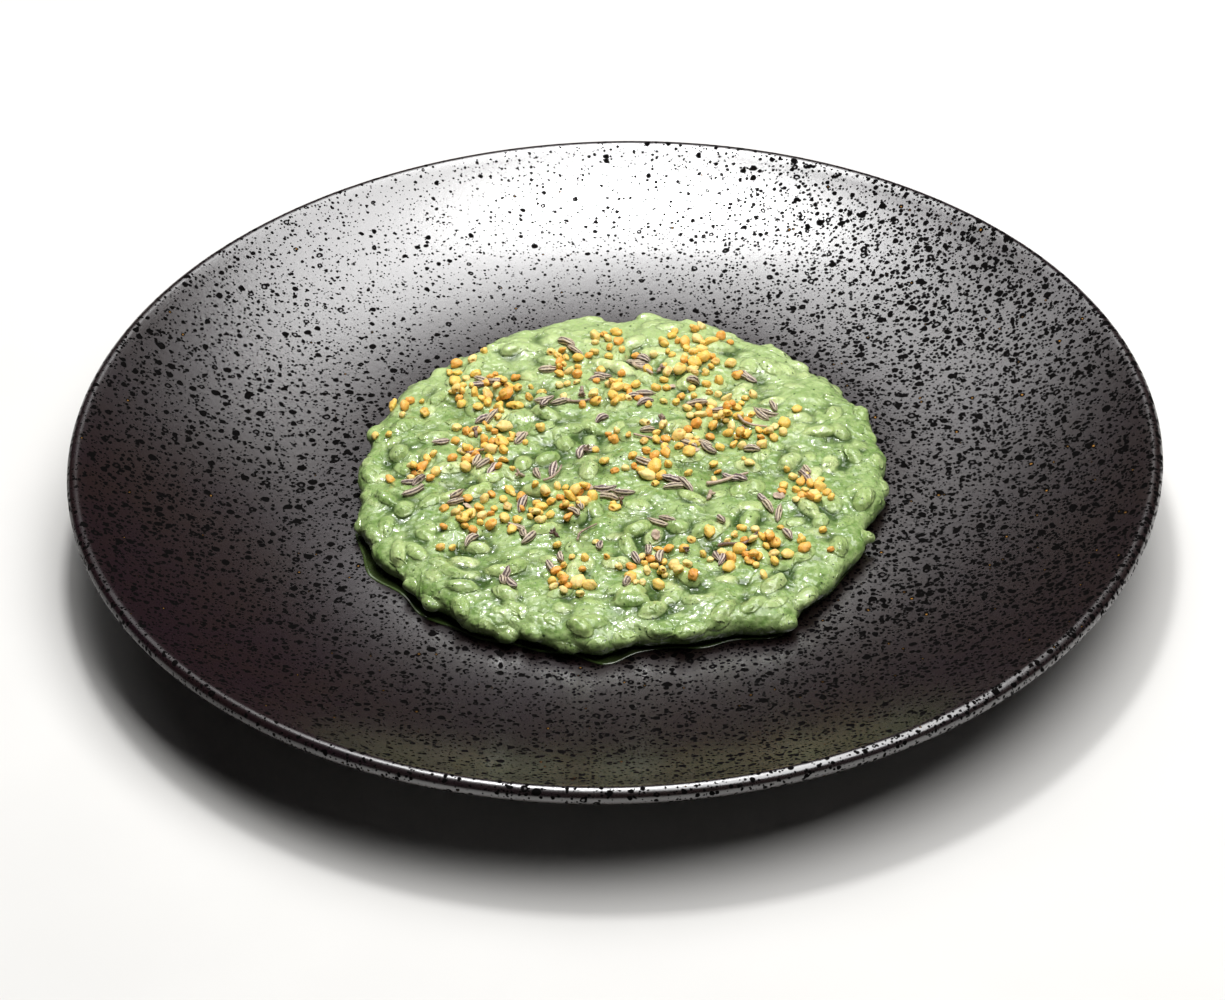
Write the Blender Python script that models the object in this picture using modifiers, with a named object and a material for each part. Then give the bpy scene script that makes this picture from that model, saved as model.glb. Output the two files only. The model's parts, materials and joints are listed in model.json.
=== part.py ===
"""A plate of green herb risotto.

A dark coupe plate on a foot ring carries a low round mound of creamy green rice. Rice grains swell through the
top of the mound and hang over its edge, and bee pollen and fennel seeds are strewn over its middle.

Units are metres and +Z is up. The origin is the middle of the foot ring's resting face.
"""

import math
import random

import bmesh
import bpy
from mathutils import Matrix, Vector, noise

MM = 0.001

# ---- Plate ----
PLATE_RADIUS = 0.140
PLATE_HEIGHT = 0.027
WELL_DEPTH = 0.017
WELL_RADIUS = 0.069
BASE_THICKNESS = 0.0060
LIP_THICKNESS = 0.0044
FOOT_OUTER_RADIUS = 0.084
FOOT_INNER_RADIUS = 0.077
FOOT_TAPER = 0.0012
FOOT_RECESS = 0.0038
PLATE_STEPS = 72
WALL_STEPS = 6

# ---- Risotto mound ----
WELL_TOP = PLATE_HEIGHT - WELL_DEPTH
CLEARANCE = 0.0003
BED_BASE = WELL_TOP + CLEARANCE
MOUND_X = 0.0016
MOUND_Y = -0.0008
MOUND_RADIUS = 0.0680
CROWN_HEIGHT = 0.0084
EDGE_HEIGHT = 0.0070
SHOULDER = 0.93
SWELL_HEIGHT = 0.0008
SWELL_LENGTH = 0.021
HUMP_HEIGHT = 0.0011
HUMP_LENGTH = 0.0085
HOLLOW_COUNT = 8
HOLLOW_FIELD = 0.058
HOLLOW_WIDTH = 0.0035
HOLLOW_DEPTH = 0.0016
HOLLOW_TURN = 2.0
TOP_SHARE = 0.64
SIDE_SHARE = 0.82
RIPPLE = 0.0007
RIPPLE_COUNT = 23
# Where the mound's outline swells out or falls in: heading and width in degrees, and reach in millimetres.
LOBES = (
    (20, 12, 0.2), (38, 9, -0.8), (52, 7, 0.2), (76, 12, 2.6), (101, 9, 2.8), (114, 8, 0.8), (126, 7, -1.2),
    (146, 11, 0.8), (162, 9, -0.8), (183, 12, -0.6), (200, 9, 1.8), (222, 9, 0.8), (236, 8, 2.0), (256, 9, 0.0),
    (263, 5, 2.6), (271, 4, -2.6), (283, 6, -0.8), (303, 9, 4.6), (325, 10, 1.4), (340, 8, -1.6),
)

# ---- Rice ----
GRAIN_LENGTH = 0.0074
GRAIN_WIDTH = 0.0043
GRAIN_DEPTH = 0.0037
GRAIN_COUNT = 340
EDGE_GRAIN_COUNT = 56
LOOSE_GRAIN_COUNT = 36
GRAIN_SINK = 0.0014
GRAIN_SINK_SPREAD = 0.0009
LEAST_SINK = 0.0002
GRAIN_TILT = 0.12
# Beyond this share of the way out, the grains lie round the mound.
ROUND_SHARE = 0.80
FULLNESS = 1.12
GOLDEN_ANGLE = math.pi * (3 - math.sqrt(5))

# ---- Toppings ----
POLLEN_SIZE = 0.0026
SEED_LENGTH = 0.0052
SEED_WIDTH = 0.0018
# Each drift of pollen: its heading in degrees, how far out it lies in millimetres, its count and its spread.
DRIFTS = (
    (65, 50, 24, 6), (40, 35, 20, 7), (15, 40, 7, 4), (345, 50, 8, 4), (30, 15, 12, 5), (315, 50, 18, 7),
    (285, 45, 14, 6), (255, 50, 9, 5), (210, 40, 18, 6), (225, 25, 10, 5), (165, 35, 18, 5), (135, 45, 26, 6),
    (105, 45, 8, 5), (90, 55, 6, 5), (90, 30, 10, 5), (155, 60, 4, 4), (180, 50, 6, 4), (345, 10, 8, 5),
    (240, 15, 5, 4),
)
# The seeds lie in sprigs of one to three, on an even spiral about the middle.
SPRIG_COUNT = 42
SPRIG_FIELD = 0.054
SPRIG_SPREAD = 0.0026
SPRIG_TURN = 67
POLLEN_KEPT = 76
SEEDS_KEPT = 44
TRIM_RATIO = 0.72


def clear_scene():
    for obj in list(bpy.data.objects):
        bpy.data.objects.remove(obj)


def new_collection(name, parent=None):
    collection = bpy.data.collections.new(name)
    (parent or bpy.context.scene.collection).children.link(collection)
    return collection


def make_material(name, colour, roughness):
    material = bpy.data.materials.new(name)
    material.use_nodes = True
    shader = material.node_tree.nodes["Principled BSDF"]
    shader.inputs["Base Color"].default_value = (*colour, 1.0)
    shader.inputs["Roughness"].default_value = roughness
    shader.inputs["Metallic"].default_value = 0.0
    return material


# ---- Plate ----


def wall_curve():
    """The plate's inner wall: its radius of curvature and how far it turns up from the flat well to the lip."""
    half = LIP_THICKNESS / 2
    run, turn = 0.0, 0.4
    for _ in range(20):
        run = PLATE_RADIUS - half - half * math.sin(turn) - WELL_RADIUS
        rise = WELL_DEPTH - half + half * math.cos(turn)
        turn = 2 * math.atan2(rise, run)
    return run / math.sin(turn), turn


def wall_point(share, depth):
    """A point of the wall's section at this share of its length, this far below the inner face."""
    radius, turn = wall_curve()
    angle = share * turn
    reach = radius + depth
    return WELL_RADIUS + reach * math.sin(angle), WELL_TOP + radius - reach * math.cos(angle)


def lip_points():
    """The rounded lip, from the inner face over the top to the underside."""
    _, turn = wall_curve()
    half = LIP_THICKNESS / 2
    middle_r, middle_z = PLATE_RADIUS - half, PLATE_HEIGHT - half
    angles = (math.pi / 2 + turn, math.pi / 2, math.pi / 4, 0.0, turn - math.pi / 2)
    return [(middle_r + half * math.cos(angle), middle_z + half * math.sin(angle)) for angle in angles]


def plate_profile():
    """Half of the plate's section as (radius, height), from the middle of its top round to the middle of its base."""
    inner = [wall_point(step / WALL_STEPS, 0.0) for step in range(WALL_STEPS)]
    outer = []
    for step in range(WALL_STEPS - 1, 1, -2):
        share = step / WALL_STEPS
        depth = BASE_THICKNESS + (LIP_THICKNESS - BASE_THICKNESS) * share
        outer.append(wall_point(share, depth))
    under = WELL_TOP - BASE_THICKNESS
    foot = [
        (FOOT_OUTER_RADIUS + FOOT_TAPER, under),
        (FOOT_OUTER_RADIUS, 0.0),
        (FOOT_INNER_RADIUS, 0.0),
        (FOOT_INNER_RADIUS - FOOT_TAPER, FOOT_RECESS),
    ]
    return [(0.0, WELL_TOP), *inner, *lip_points(), *outer, *foot, (0.0, FOOT_RECESS)]


def make_plate(collection, material):
    mesh = bpy.data.meshes.new("plate")
    section = bmesh.new()
    points = [section.verts.new((radius, 0.0, height)) for radius, height in plate_profile()]
    for start, end in zip(points, points[1:]):
        section.edges.new((start, end))
    section.to_mesh(mesh)
    section.free()
    plate = bpy.data.objects.new("plate", mesh)
    collection.objects.link(plate)
    screw = plate.modifiers.new("turn", "SCREW")
    screw.angle = math.tau
    screw.steps = screw.render_steps = PLATE_STEPS
    screw.use_merge_vertices = True
    screw.merge_threshold = 0.00005
    screw.use_smooth_shade = True
    mesh.materials.append(material)
    return plate


# ---- Risotto mound ----


def outline_radius(angle):
    """The mound's uneven outline: its radius in this direction."""
    radius = MOUND_RADIUS + RIPPLE * math.sin(RIPPLE_COUNT * angle)
    for heading, width, reach in LOBES:
        apart = math.degrees(math.remainder(angle - math.radians(heading), math.tau))
        radius += reach * MM * math.exp(-((apart / width) ** 2))
    return radius


def on_plate(radius, angle, height):
    """A point at this distance and heading from the mound's middle."""
    return Vector((MOUND_X + radius * math.cos(angle), MOUND_Y + radius * math.sin(angle), height))


def spiral_spot(index, count, field, turn=0.0):
    """(x, y) of one of the spots that cover a round field evenly."""
    out, angle = field * math.sqrt((index + 0.5) / count), turn + index * GOLDEN_ANGLE
    return out * math.cos(angle), out * math.sin(angle)


def bed_height(x, y):
    """Height of the bare mound's top at a point of the plate."""
    dx, dy = x - MOUND_X, y - MOUND_Y
    share = min(1.0, math.hypot(dx, dy) / outline_radius(math.atan2(dy, dx)))
    dome = EDGE_HEIGHT + (CROWN_HEIGHT - EDGE_HEIGHT) * (1 - share * share)
    swell = SWELL_HEIGHT * noise.noise(Vector((x, y, 0.0)) / SWELL_LENGTH)
    swell += HUMP_HEIGHT * noise.noise(Vector((x, y, 0.031)) / HUMP_LENGTH)
    for index in range(HOLLOW_COUNT):
        hollow_x, hollow_y = spiral_spot(index, HOLLOW_COUNT, HOLLOW_FIELD, HOLLOW_TURN)
        away = math.hypot(x - hollow_x, y - hollow_y) / HOLLOW_WIDTH
        swell -= HOLLOW_DEPTH * math.exp(-away * away)
    return BED_BASE + dome + swell


def skin_point(direction):
    """Where a point of a unit sphere goes on the mound: over its top, round its side or under it."""
    angle = math.atan2(direction.y, direction.x)
    share = (1 - direction.z) / 2
    shoulder = SHOULDER * outline_radius(angle)
    if share < TOP_SHARE:
        point = on_plate(shoulder * math.sqrt(share / TOP_SHARE), angle, 0.0)
        point.z = bed_height(point.x, point.y)
        return point
    if share > SIDE_SHARE:
        return on_plate(shoulder * math.sqrt((1 - share) / (1 - SIDE_SHARE)), angle, BED_BASE)
    turn = math.pi * (0.5 - (share - TOP_SHARE) / (SIDE_SHARE - TOP_SHARE))
    rim = on_plate(shoulder, angle, 0.0)
    half = (bed_height(rim.x, rim.y) - BED_BASE) / 2
    radius = shoulder + (outline_radius(angle) - shoulder) * math.cos(turn)
    return on_plate(radius, angle, BED_BASE + half + half * math.sin(turn))


# ---- Rice ----


class Grain:
    """One grain of rice: its middle, its three half sizes, its heading and its tilt."""

    def __init__(self, middle, rng, tilt):
        stretch, fat = rng.uniform(0.80, 1.16), rng.uniform(0.86, 1.12)
        self.half = (GRAIN_LENGTH / 2 * stretch, GRAIN_WIDTH / 2 * fat, GRAIN_DEPTH / 2 * fat)
        self.middle = middle
        self.heading = rng.uniform(0, math.pi)
        self.tilt = tilt

    def top(self):
        return self.middle.z + self.half[2]

    def rise(self, x, y):
        """Height of the grain's upper face over a point of the plate, or nothing beside the grain."""
        dx, dy = x - self.middle.x, y - self.middle.y
        along = dx * math.cos(self.heading) + dy * math.sin(self.heading)
        across = dy * math.cos(self.heading) - dx * math.sin(self.heading)
        inside = 1 - (along / self.half[0]) ** 2 - (across / self.half[1]) ** 2
        if inside <= 0:
            return 0.0
        return self.middle.z + self.half[2] * math.sqrt(inside) + along * math.tan(self.tilt)

    def matrix(self):
        turn = Matrix.Rotation(self.heading, 4, "Z") @ Matrix.Rotation(-self.tilt, 4, "Y")
        return Matrix.Translation(self.middle) @ turn @ Matrix.Diagonal((*self.half, 1.0))


def bed_grains():
    """Grains spread evenly over the top of the mound, most of them nearly sunk in the sauce."""
    rng = random.Random(11)
    grains = []
    for index in range(GRAIN_COUNT):
        angle = index * GOLDEN_ANGLE + rng.uniform(-0.05, 0.05)
        share = math.sqrt((index + 0.5) / GRAIN_COUNT) * 0.95
        middle = on_plate(share * outline_radius(angle) + rng.uniform(-0.0014, 0.0014), angle, 0.0)
        sink = max(LEAST_SINK, GRAIN_SINK + rng.gauss(0, GRAIN_SINK_SPREAD))
        middle.z = bed_height(middle.x, middle.y) - sink
        grain = Grain(middle, rng, rng.gauss(0, GRAIN_TILT))
        if share > ROUND_SHARE:
            grain.heading = angle + math.pi / 2 + (grain.heading - math.pi / 2) * 0.4
        grains.append(grain)
    return grains


def edge_grains():
    """Grains round the mound's side, which stand out of it and hang over the plate."""
    rng = random.Random(23)
    grains = []
    for index in range(EDGE_GRAIN_COUNT):
        angle = math.tau * (index + rng.uniform(-0.3, 0.3)) / EDGE_GRAIN_COUNT
        radius = outline_radius(angle) - rng.uniform(0.0002, 0.0020)
        height = BED_BASE + rng.uniform(0.0026, EDGE_HEIGHT - 0.0014)
        grain = Grain(on_plate(radius, angle, height), rng, 0.0)
        grain.heading = angle + math.pi / 2 + rng.gauss(0, 0.4)
        grains.append(grain)
    return grains


def bumped_height(point, grains):
    """The mound's top with its sunk grains showing as bumps."""
    return max([point.z] + [grain.rise(point.x, point.y) for grain in grains])


# ---- Toppings ----


def surface_frame(x, y, heading):
    """A frame lying on the mound at a point of the plate, with its X axis along the heading."""
    step = 0.0015
    slope_x = (bed_height(x + step, y) - bed_height(x - step, y)) / (2 * step)
    slope_y = (bed_height(x, y + step) - bed_height(x, y - step)) / (2 * step)
    normal = Vector((-slope_x, -slope_y, 1.0)).normalized()
    along = Vector((math.cos(heading), math.sin(heading), 0.0))
    along = (along - normal * along.dot(normal)).normalized()
    across = normal.cross(along)
    frame = Matrix((along, across, normal)).transposed().to_4x4()
    frame.translation = Vector((x, y, bed_height(x, y)))
    return frame


def clear_of(x, y, taken, gap):
    return all(math.hypot(x - other[0], y - other[1]) >= gap for other in taken)


def pollen_places():
    """(x, y, size) of each granule of pollen, drift by drift, no two closer than they touch."""
    rng = random.Random(5)
    places = []
    for heading, out, count, spread in DRIFTS:
        middle_x, middle_y = out * math.cos(math.radians(heading)), out * math.sin(math.radians(heading))
        for _ in range(count):
            size = POLLEN_SIZE * rng.uniform(0.72, 1.28)
            x = y = 0.0
            for widen in range(40):
                reach = spread * MM * (0.45 + widen * 0.03)
                x = middle_x * MM + rng.gauss(0, reach)
                y = middle_y * MM + rng.gauss(0, reach)
                if clear_of(x, y, places, 0.94 * size):
                    break
            places.append((x, y, size))
    return places


def seed_places(pollen):
    """(x, y, heading, stretch) of each fennel seed: they lie in twos and threes, mostly clear of the pollen."""
    rng = random.Random(17)
    places = []
    for index in range(SPRIG_COUNT):
        middle_x, middle_y = spiral_spot(index, SPRIG_COUNT, SPRIG_FIELD)
        count, heading = 1 + index % 3, index * SPRIG_TURN % 180
        for _ in range(count):
            turn, stretch = math.radians(heading + rng.gauss(0, 8 + 6 * count)), rng.uniform(0.80, 1.18)
            x = y = 0.0
            for widen in range(30):
                reach = SPRIG_SPREAD * (0.5 + widen * 0.03)
                x = middle_x + rng.gauss(0, reach)
                y = middle_y + rng.gauss(0, reach)
                if clear_of(x, y, pollen, 0.0017) and clear_of(x, y, places, 0.0021):
                    break
            places.append((x, y, turn, stretch))
    return places


# ---- Joining ----


def grain_mesh(name, around, along):
    """The blank of a grain or a seed: a unit sphere with its ends on the X axis and full shoulders."""
    shape = bmesh.new()
    bmesh.ops.create_uvsphere(
        shape, u_segments=around, v_segments=along, radius=1.0, matrix=Matrix.Rotation(math.pi / 2, 4, "Y")
    )
    for vert in shape.verts:
        if 0.01 < abs(vert.co.x) < 0.99:
            vert.co *= FULLNESS
    mesh = bpy.data.meshes.new(name)
    shape.to_mesh(mesh)
    shape.free()
    return mesh


def granule_mesh(name):
    shape = bmesh.new()
    bmesh.ops.create_icosphere(shape, subdivisions=1, radius=1.0)
    mesh = bpy.data.meshes.new(name)
    shape.to_mesh(mesh)
    shape.free()
    return mesh


def add_piece(mesh, matrix, collection):
    piece = bpy.data.objects.new(mesh.name, mesh)
    piece.matrix_world = matrix
    collection.objects.link(piece)


def add_rice(grains, collection):
    blank = grain_mesh("rice", 6, 4)
    for grain in grains:
        floor = BED_BASE + 0.0002 + grain.half[2]
        grain.middle.z = max(grain.middle.z, floor)
        add_piece(blank, grain.matrix(), collection)


def add_pollen(places, collection):
    blank = granule_mesh("pollen")
    rng = random.Random(3)
    for x, y, size in sorted(places, key=lambda place: -place[2])[:POLLEN_KEPT]:
        frame = surface_frame(x, y, rng.uniform(0, math.tau))
        lift = Matrix.Translation((0, 0, size * 0.28))
        spin = Matrix.Rotation(rng.uniform(0, 3), 4, "X")
        add_piece(blank, frame @ lift @ spin @ Matrix.Scale(size / 2, 4), collection)


def add_seeds(places, collection):
    blank = grain_mesh("seed", 5, 4)
    for x, y, heading, stretch in places[::2][:SEEDS_KEPT]:
        half = (SEED_LENGTH / 2 * stretch, SEED_WIDTH / 2, SEED_WIDTH / 2)
        lift = Matrix.Translation((0, 0, SEED_WIDTH * 0.26))
        add_piece(blank, surface_frame(x, y, heading) @ lift @ Matrix.Diagonal((*half, 1.0)), collection)


def core_mesh(bumps):
    """The mound itself: a sphere drawn down over the plate, with its sunk grains as bumps and a flat underside."""
    core = bmesh.new()
    bmesh.ops.create_icosphere(core, subdivisions=5, radius=1.0)
    underside = []
    for vert in core.verts:
        share = (1 - vert.co.z) / 2
        vert.co = skin_point(vert.co.copy())
        if share < TOP_SHARE:
            vert.co.z = bumped_height(vert.co, bumps)
        elif share > SIDE_SHARE:
            underside.append(vert)
    flat = [face for face in core.faces if all(vert in underside for vert in face.verts)]
    bmesh.ops.dissolve_faces(core, faces=flat)
    mesh = bpy.data.meshes.new("risotto")
    core.to_mesh(mesh)
    core.free()
    return mesh


def join_all(obj, pieces):
    """Fuses a collection of pieces into the object, trims its slivers, and removes the pieces."""
    union = obj.modifiers.new("fuse", "BOOLEAN")
    union.operation = "UNION"
    union.operand_type = "COLLECTION"
    union.collection = pieces
    union.solver = "EXACT"
    trim = obj.modifiers.new("trim", "DECIMATE")
    trim.ratio = TRIM_RATIO
    bpy.context.view_layer.update()
    joined = bpy.data.meshes.new_from_object(obj.evaluated_get(bpy.context.evaluated_depsgraph_get()))
    obj.modifiers.clear()
    obj.data = joined
    for piece in list(pieces.objects):
        bpy.data.objects.remove(piece)
    bpy.data.collections.remove(pieces)


def keep_outer_skin(mesh):
    """Drops loose scraps and fills hollows sealed by fusing, so that one closed skin is left."""
    skin = bmesh.new()
    skin.from_mesh(mesh)
    left = set(skin.verts)
    islands = []
    while left:
        reached, front = set(), [left.pop()]
        while front:
            vert = front.pop()
            reached.add(vert)
            for edge in vert.link_edges:
                other = edge.other_vert(vert)
                if other in left:
                    left.discard(other)
                    front.append(other)
        islands.append(reached)
    outer = max(islands, key=len)
    bmesh.ops.delete(skin, geom=[vert for vert in skin.verts if vert not in outer], context="VERTS")
    skin.to_mesh(mesh)
    skin.free()


def make_risotto(collection, material):
    grains = sorted(bed_grains(), key=lambda grain: bed_height(grain.middle.x, grain.middle.y) - grain.top())
    loose, sunk = grains[:LOOSE_GRAIN_COUNT], grains[LOOSE_GRAIN_COUNT:]
    risotto = bpy.data.objects.new("risotto", core_mesh(sunk))
    collection.objects.link(risotto)
    pieces = new_collection("pieces")
    add_rice(loose + edge_grains(), pieces)
    pollen = pollen_places()
    add_pollen(pollen, pieces)
    add_seeds(seed_places(pollen), pieces)
    join_all(risotto, pieces)
    keep_outer_skin(risotto.data)
    risotto.data.materials.clear()
    risotto.data.materials.append(material)
    risotto.data.shade_smooth()
    return risotto


def main():
    clear_scene()
    dish = new_collection("herb_risotto")
    make_plate(dish, make_material("dark_glaze", (0.045, 0.036, 0.038), 0.38))
    make_risotto(dish, make_material("herb_risotto", (0.17, 0.36, 0.09), 0.32))


main()
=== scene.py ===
"""Looks of a plate of green herb risotto.

A dark, speckled coupe plate carries a low mound of creamy green rice. The mound is cast from its grains
and its sauce, and bee pollen, fennel seeds, dried flower bits and twigs lie on it. Each sub-assembly is a
class that builds its mesh and dresses it, and each finish is a small class that makes one material.
"""

import json
import logging
import math
import random
from dataclasses import dataclass
from enum import Enum
from typing import Callable, Iterable, Sequence

import bmesh
import bpy
import numpy as np
from mathutils import Euler, Matrix, Quaternion, Vector, noise
from mathutils.bvhtree import BVHTree

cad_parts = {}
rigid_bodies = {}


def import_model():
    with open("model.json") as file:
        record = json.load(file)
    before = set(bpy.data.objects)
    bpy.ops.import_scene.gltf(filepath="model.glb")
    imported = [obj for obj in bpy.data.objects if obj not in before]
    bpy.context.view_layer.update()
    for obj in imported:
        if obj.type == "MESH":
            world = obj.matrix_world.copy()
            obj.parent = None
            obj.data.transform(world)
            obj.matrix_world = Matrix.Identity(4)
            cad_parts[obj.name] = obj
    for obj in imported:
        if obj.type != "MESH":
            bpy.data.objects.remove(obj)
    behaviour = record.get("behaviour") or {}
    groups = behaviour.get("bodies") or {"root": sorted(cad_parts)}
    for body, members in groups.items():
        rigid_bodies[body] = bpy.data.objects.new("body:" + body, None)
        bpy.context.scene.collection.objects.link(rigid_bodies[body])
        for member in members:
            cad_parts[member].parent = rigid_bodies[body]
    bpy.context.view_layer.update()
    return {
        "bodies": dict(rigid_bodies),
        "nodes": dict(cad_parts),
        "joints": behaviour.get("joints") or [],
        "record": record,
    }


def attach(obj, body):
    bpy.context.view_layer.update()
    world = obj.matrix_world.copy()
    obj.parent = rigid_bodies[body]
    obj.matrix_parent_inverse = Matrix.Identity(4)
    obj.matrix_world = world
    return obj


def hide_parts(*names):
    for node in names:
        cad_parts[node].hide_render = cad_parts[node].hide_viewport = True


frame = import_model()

LOG = logging.getLogger("risotto")
MM = 0.001
GOLDEN_ANGLE = math.pi * (3 - math.sqrt(5))
Colour = tuple[float, float, float]


class Body(Enum):
    """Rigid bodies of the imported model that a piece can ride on."""

    ROOT = "root"


class Node(Enum):
    """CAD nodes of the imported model."""

    PLATE = "plate"
    RISOTTO = "risotto"


class Slot(Enum):
    """Material slots of the record."""

    GLAZE = "dark_glaze"
    RISOTTO = "herb_risotto"


# ---- Shader building ----


class Wiring:
    """Adds and joins the nodes of one shader tree."""

    def __init__(self, tree: bpy.types.NodeTree) -> None:
        """Starts on a tree.

        Args:
            tree: the node tree to add to.
        """
        self.tree = tree

    def add(self, kind: str, **settings: object) -> bpy.types.Node:
        """Adds a node.

        Args:
            kind: the node's type, such as "ShaderNodeMath".
            settings: properties of the node to set.

        Returns:
            The new node.
        """
        node = self.tree.nodes.new(kind)
        for name, value in settings.items():
            setattr(node, name, value)
        return node

    def feed(self, socket: bpy.types.NodeSocket, value: object) -> None:
        """Joins an output to an input, or sets the input's own value.

        Args:
            socket: the input.
            value: an output socket, a number, a vector or a colour.
        """
        if isinstance(value, bpy.types.NodeSocket):
            self.tree.links.new(value, socket)
        elif isinstance(value, tuple) and len(value) == 3 and socket.type == "RGBA":
            socket.default_value = (*value, 1.0)
        else:
            socket.default_value = value

    def math(self, operation: str, first: object, second: object = 0.0) -> bpy.types.NodeSocket:
        """Joins two values by a sum, product or the like.

        Args:
            operation: the Math node's operation.
            first: a socket or number.
            second: a socket or number.

        Returns:
            The result, kept between 0 and 1 only where the operation does so.
        """
        node = self.add("ShaderNodeMath", operation=operation)
        self.feed(node.inputs[0], first)
        self.feed(node.inputs[1], second)
        return node.outputs[0]

    def blend(self, share: object, first: object, second: object, how: str = "MIX") -> bpy.types.NodeSocket:
        """Mixes two colours.

        Args:
            share: how much of the second colour, 0 to 1.
            first: a colour or socket.
            second: a colour or socket.
            how: the Mix node's blend type.

        Returns:
            The mixed colour.
        """
        node = self.add("ShaderNodeMix", data_type="RGBA", blend_type=how)
        self.feed(node.inputs[0], share)
        self.feed(node.inputs[6], first)
        self.feed(node.inputs[7], second)
        return node.outputs[2]

    def span(
        self, value: object, low: float, high: float, start: float = 0.0, end: float = 1.0
    ) -> bpy.types.NodeSocket:
        """Maps a value smoothly from one range to another.

        Args:
            value: the value.
            low: where the result begins to leave start.
            high: where it reaches end.
            start: the result below low.
            end: the result above high.

        Returns:
            The mapped value.
        """
        node = self.add("ShaderNodeMapRange", interpolation_type="SMOOTHSTEP")
        for socket, number in zip(node.inputs[:5], (value, low, high, start, end)):
            self.feed(socket, number)
        return node.outputs[0]

    def noise(
        self, place: object, size: float, detail: float = 2.0, rough: float = 0.5
    ) -> bpy.types.NodeSocket:
        """Adds soft noise.

        Args:
            place: the coordinates in metres.
            size: the size of one blotch in metres.
            detail: how many finer layers it has.
            rough: how strong those are.

        Returns:
            A value around 0.5.
        """
        node = self.add("ShaderNodeTexNoise")
        self.feed(node.inputs["Vector"], place)
        self.feed(node.inputs["Scale"], 1.0 / size)
        self.feed(node.inputs["Detail"], detail)
        self.feed(node.inputs["Roughness"], rough)
        return node.outputs["Fac"]

    def place(self) -> bpy.types.NodeSocket:
        """Returns the surface's own coordinates in metres."""
        return self.add("ShaderNodeTexCoord").outputs["Object"]

    def split(self, vector: object) -> tuple[bpy.types.NodeSocket, ...]:
        """Returns the three parts of a vector."""
        node = self.add("ShaderNodeSeparateXYZ")
        self.feed(node.inputs[0], vector)
        return tuple(node.outputs)

    def distance(self, first: object, second: object) -> bpy.types.NodeSocket:
        """Returns how far apart two points are."""
        node = self.add("ShaderNodeVectorMath", operation="DISTANCE")
        self.feed(node.inputs[0], first)
        self.feed(node.inputs[1], second)
        return node.outputs["Value"]

    def stored(self, name: str) -> bpy.types.NodeSocket:
        """Returns the value stored on the mesh under this name."""
        return self.add("ShaderNodeAttribute", attribute_name=name).outputs["Fac"]

    def bump(
        self, height: object, depth: float, strength: float = 1.0, below: object = None
    ) -> bpy.types.NodeSocket:
        """Turns a height into a surface normal.

        Args:
            height: the height, 0 to 1.
            depth: what a height of 1 stands for, in metres.
            strength: how much of the relief shows.
            below: the normal of a coarser relief, if there is one.

        Returns:
            The normal.
        """
        node = self.add("ShaderNodeBump")
        self.feed(node.inputs["Height"], height)
        self.feed(node.inputs["Distance"], depth)
        self.feed(node.inputs["Strength"], strength)
        if below is not None:
            self.feed(node.inputs["Normal"], below)
        return node.outputs["Normal"]


def new_group(
    name: str, inputs: dict[str, float], outputs: Sequence[str]
) -> tuple[Wiring, dict, bpy.types.Node]:
    """Starts a shader group whose first input is a place and whose outputs are values.

    Args:
        name: the group's name.
        inputs: its number inputs with their usual values.
        outputs: the names of its outputs.

    Returns:
        The group's wiring, its inputs by name, and its output node.
    """
    tree = bpy.data.node_groups.new(name, "ShaderNodeTree")
    tree.interface.new_socket("Place", in_out="INPUT", socket_type="NodeSocketVector")
    for label, value in inputs.items():
        socket = tree.interface.new_socket(label, in_out="INPUT", socket_type="NodeSocketFloat")
        socket.default_value = value
    for label in outputs:
        tree.interface.new_socket(label, in_out="OUTPUT", socket_type="NodeSocketFloat")
    wiring = Wiring(tree)
    entry = wiring.add("NodeGroupInput")
    return wiring, {socket.name: socket for socket in entry.outputs}, wiring.add("NodeGroupOutput")


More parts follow.
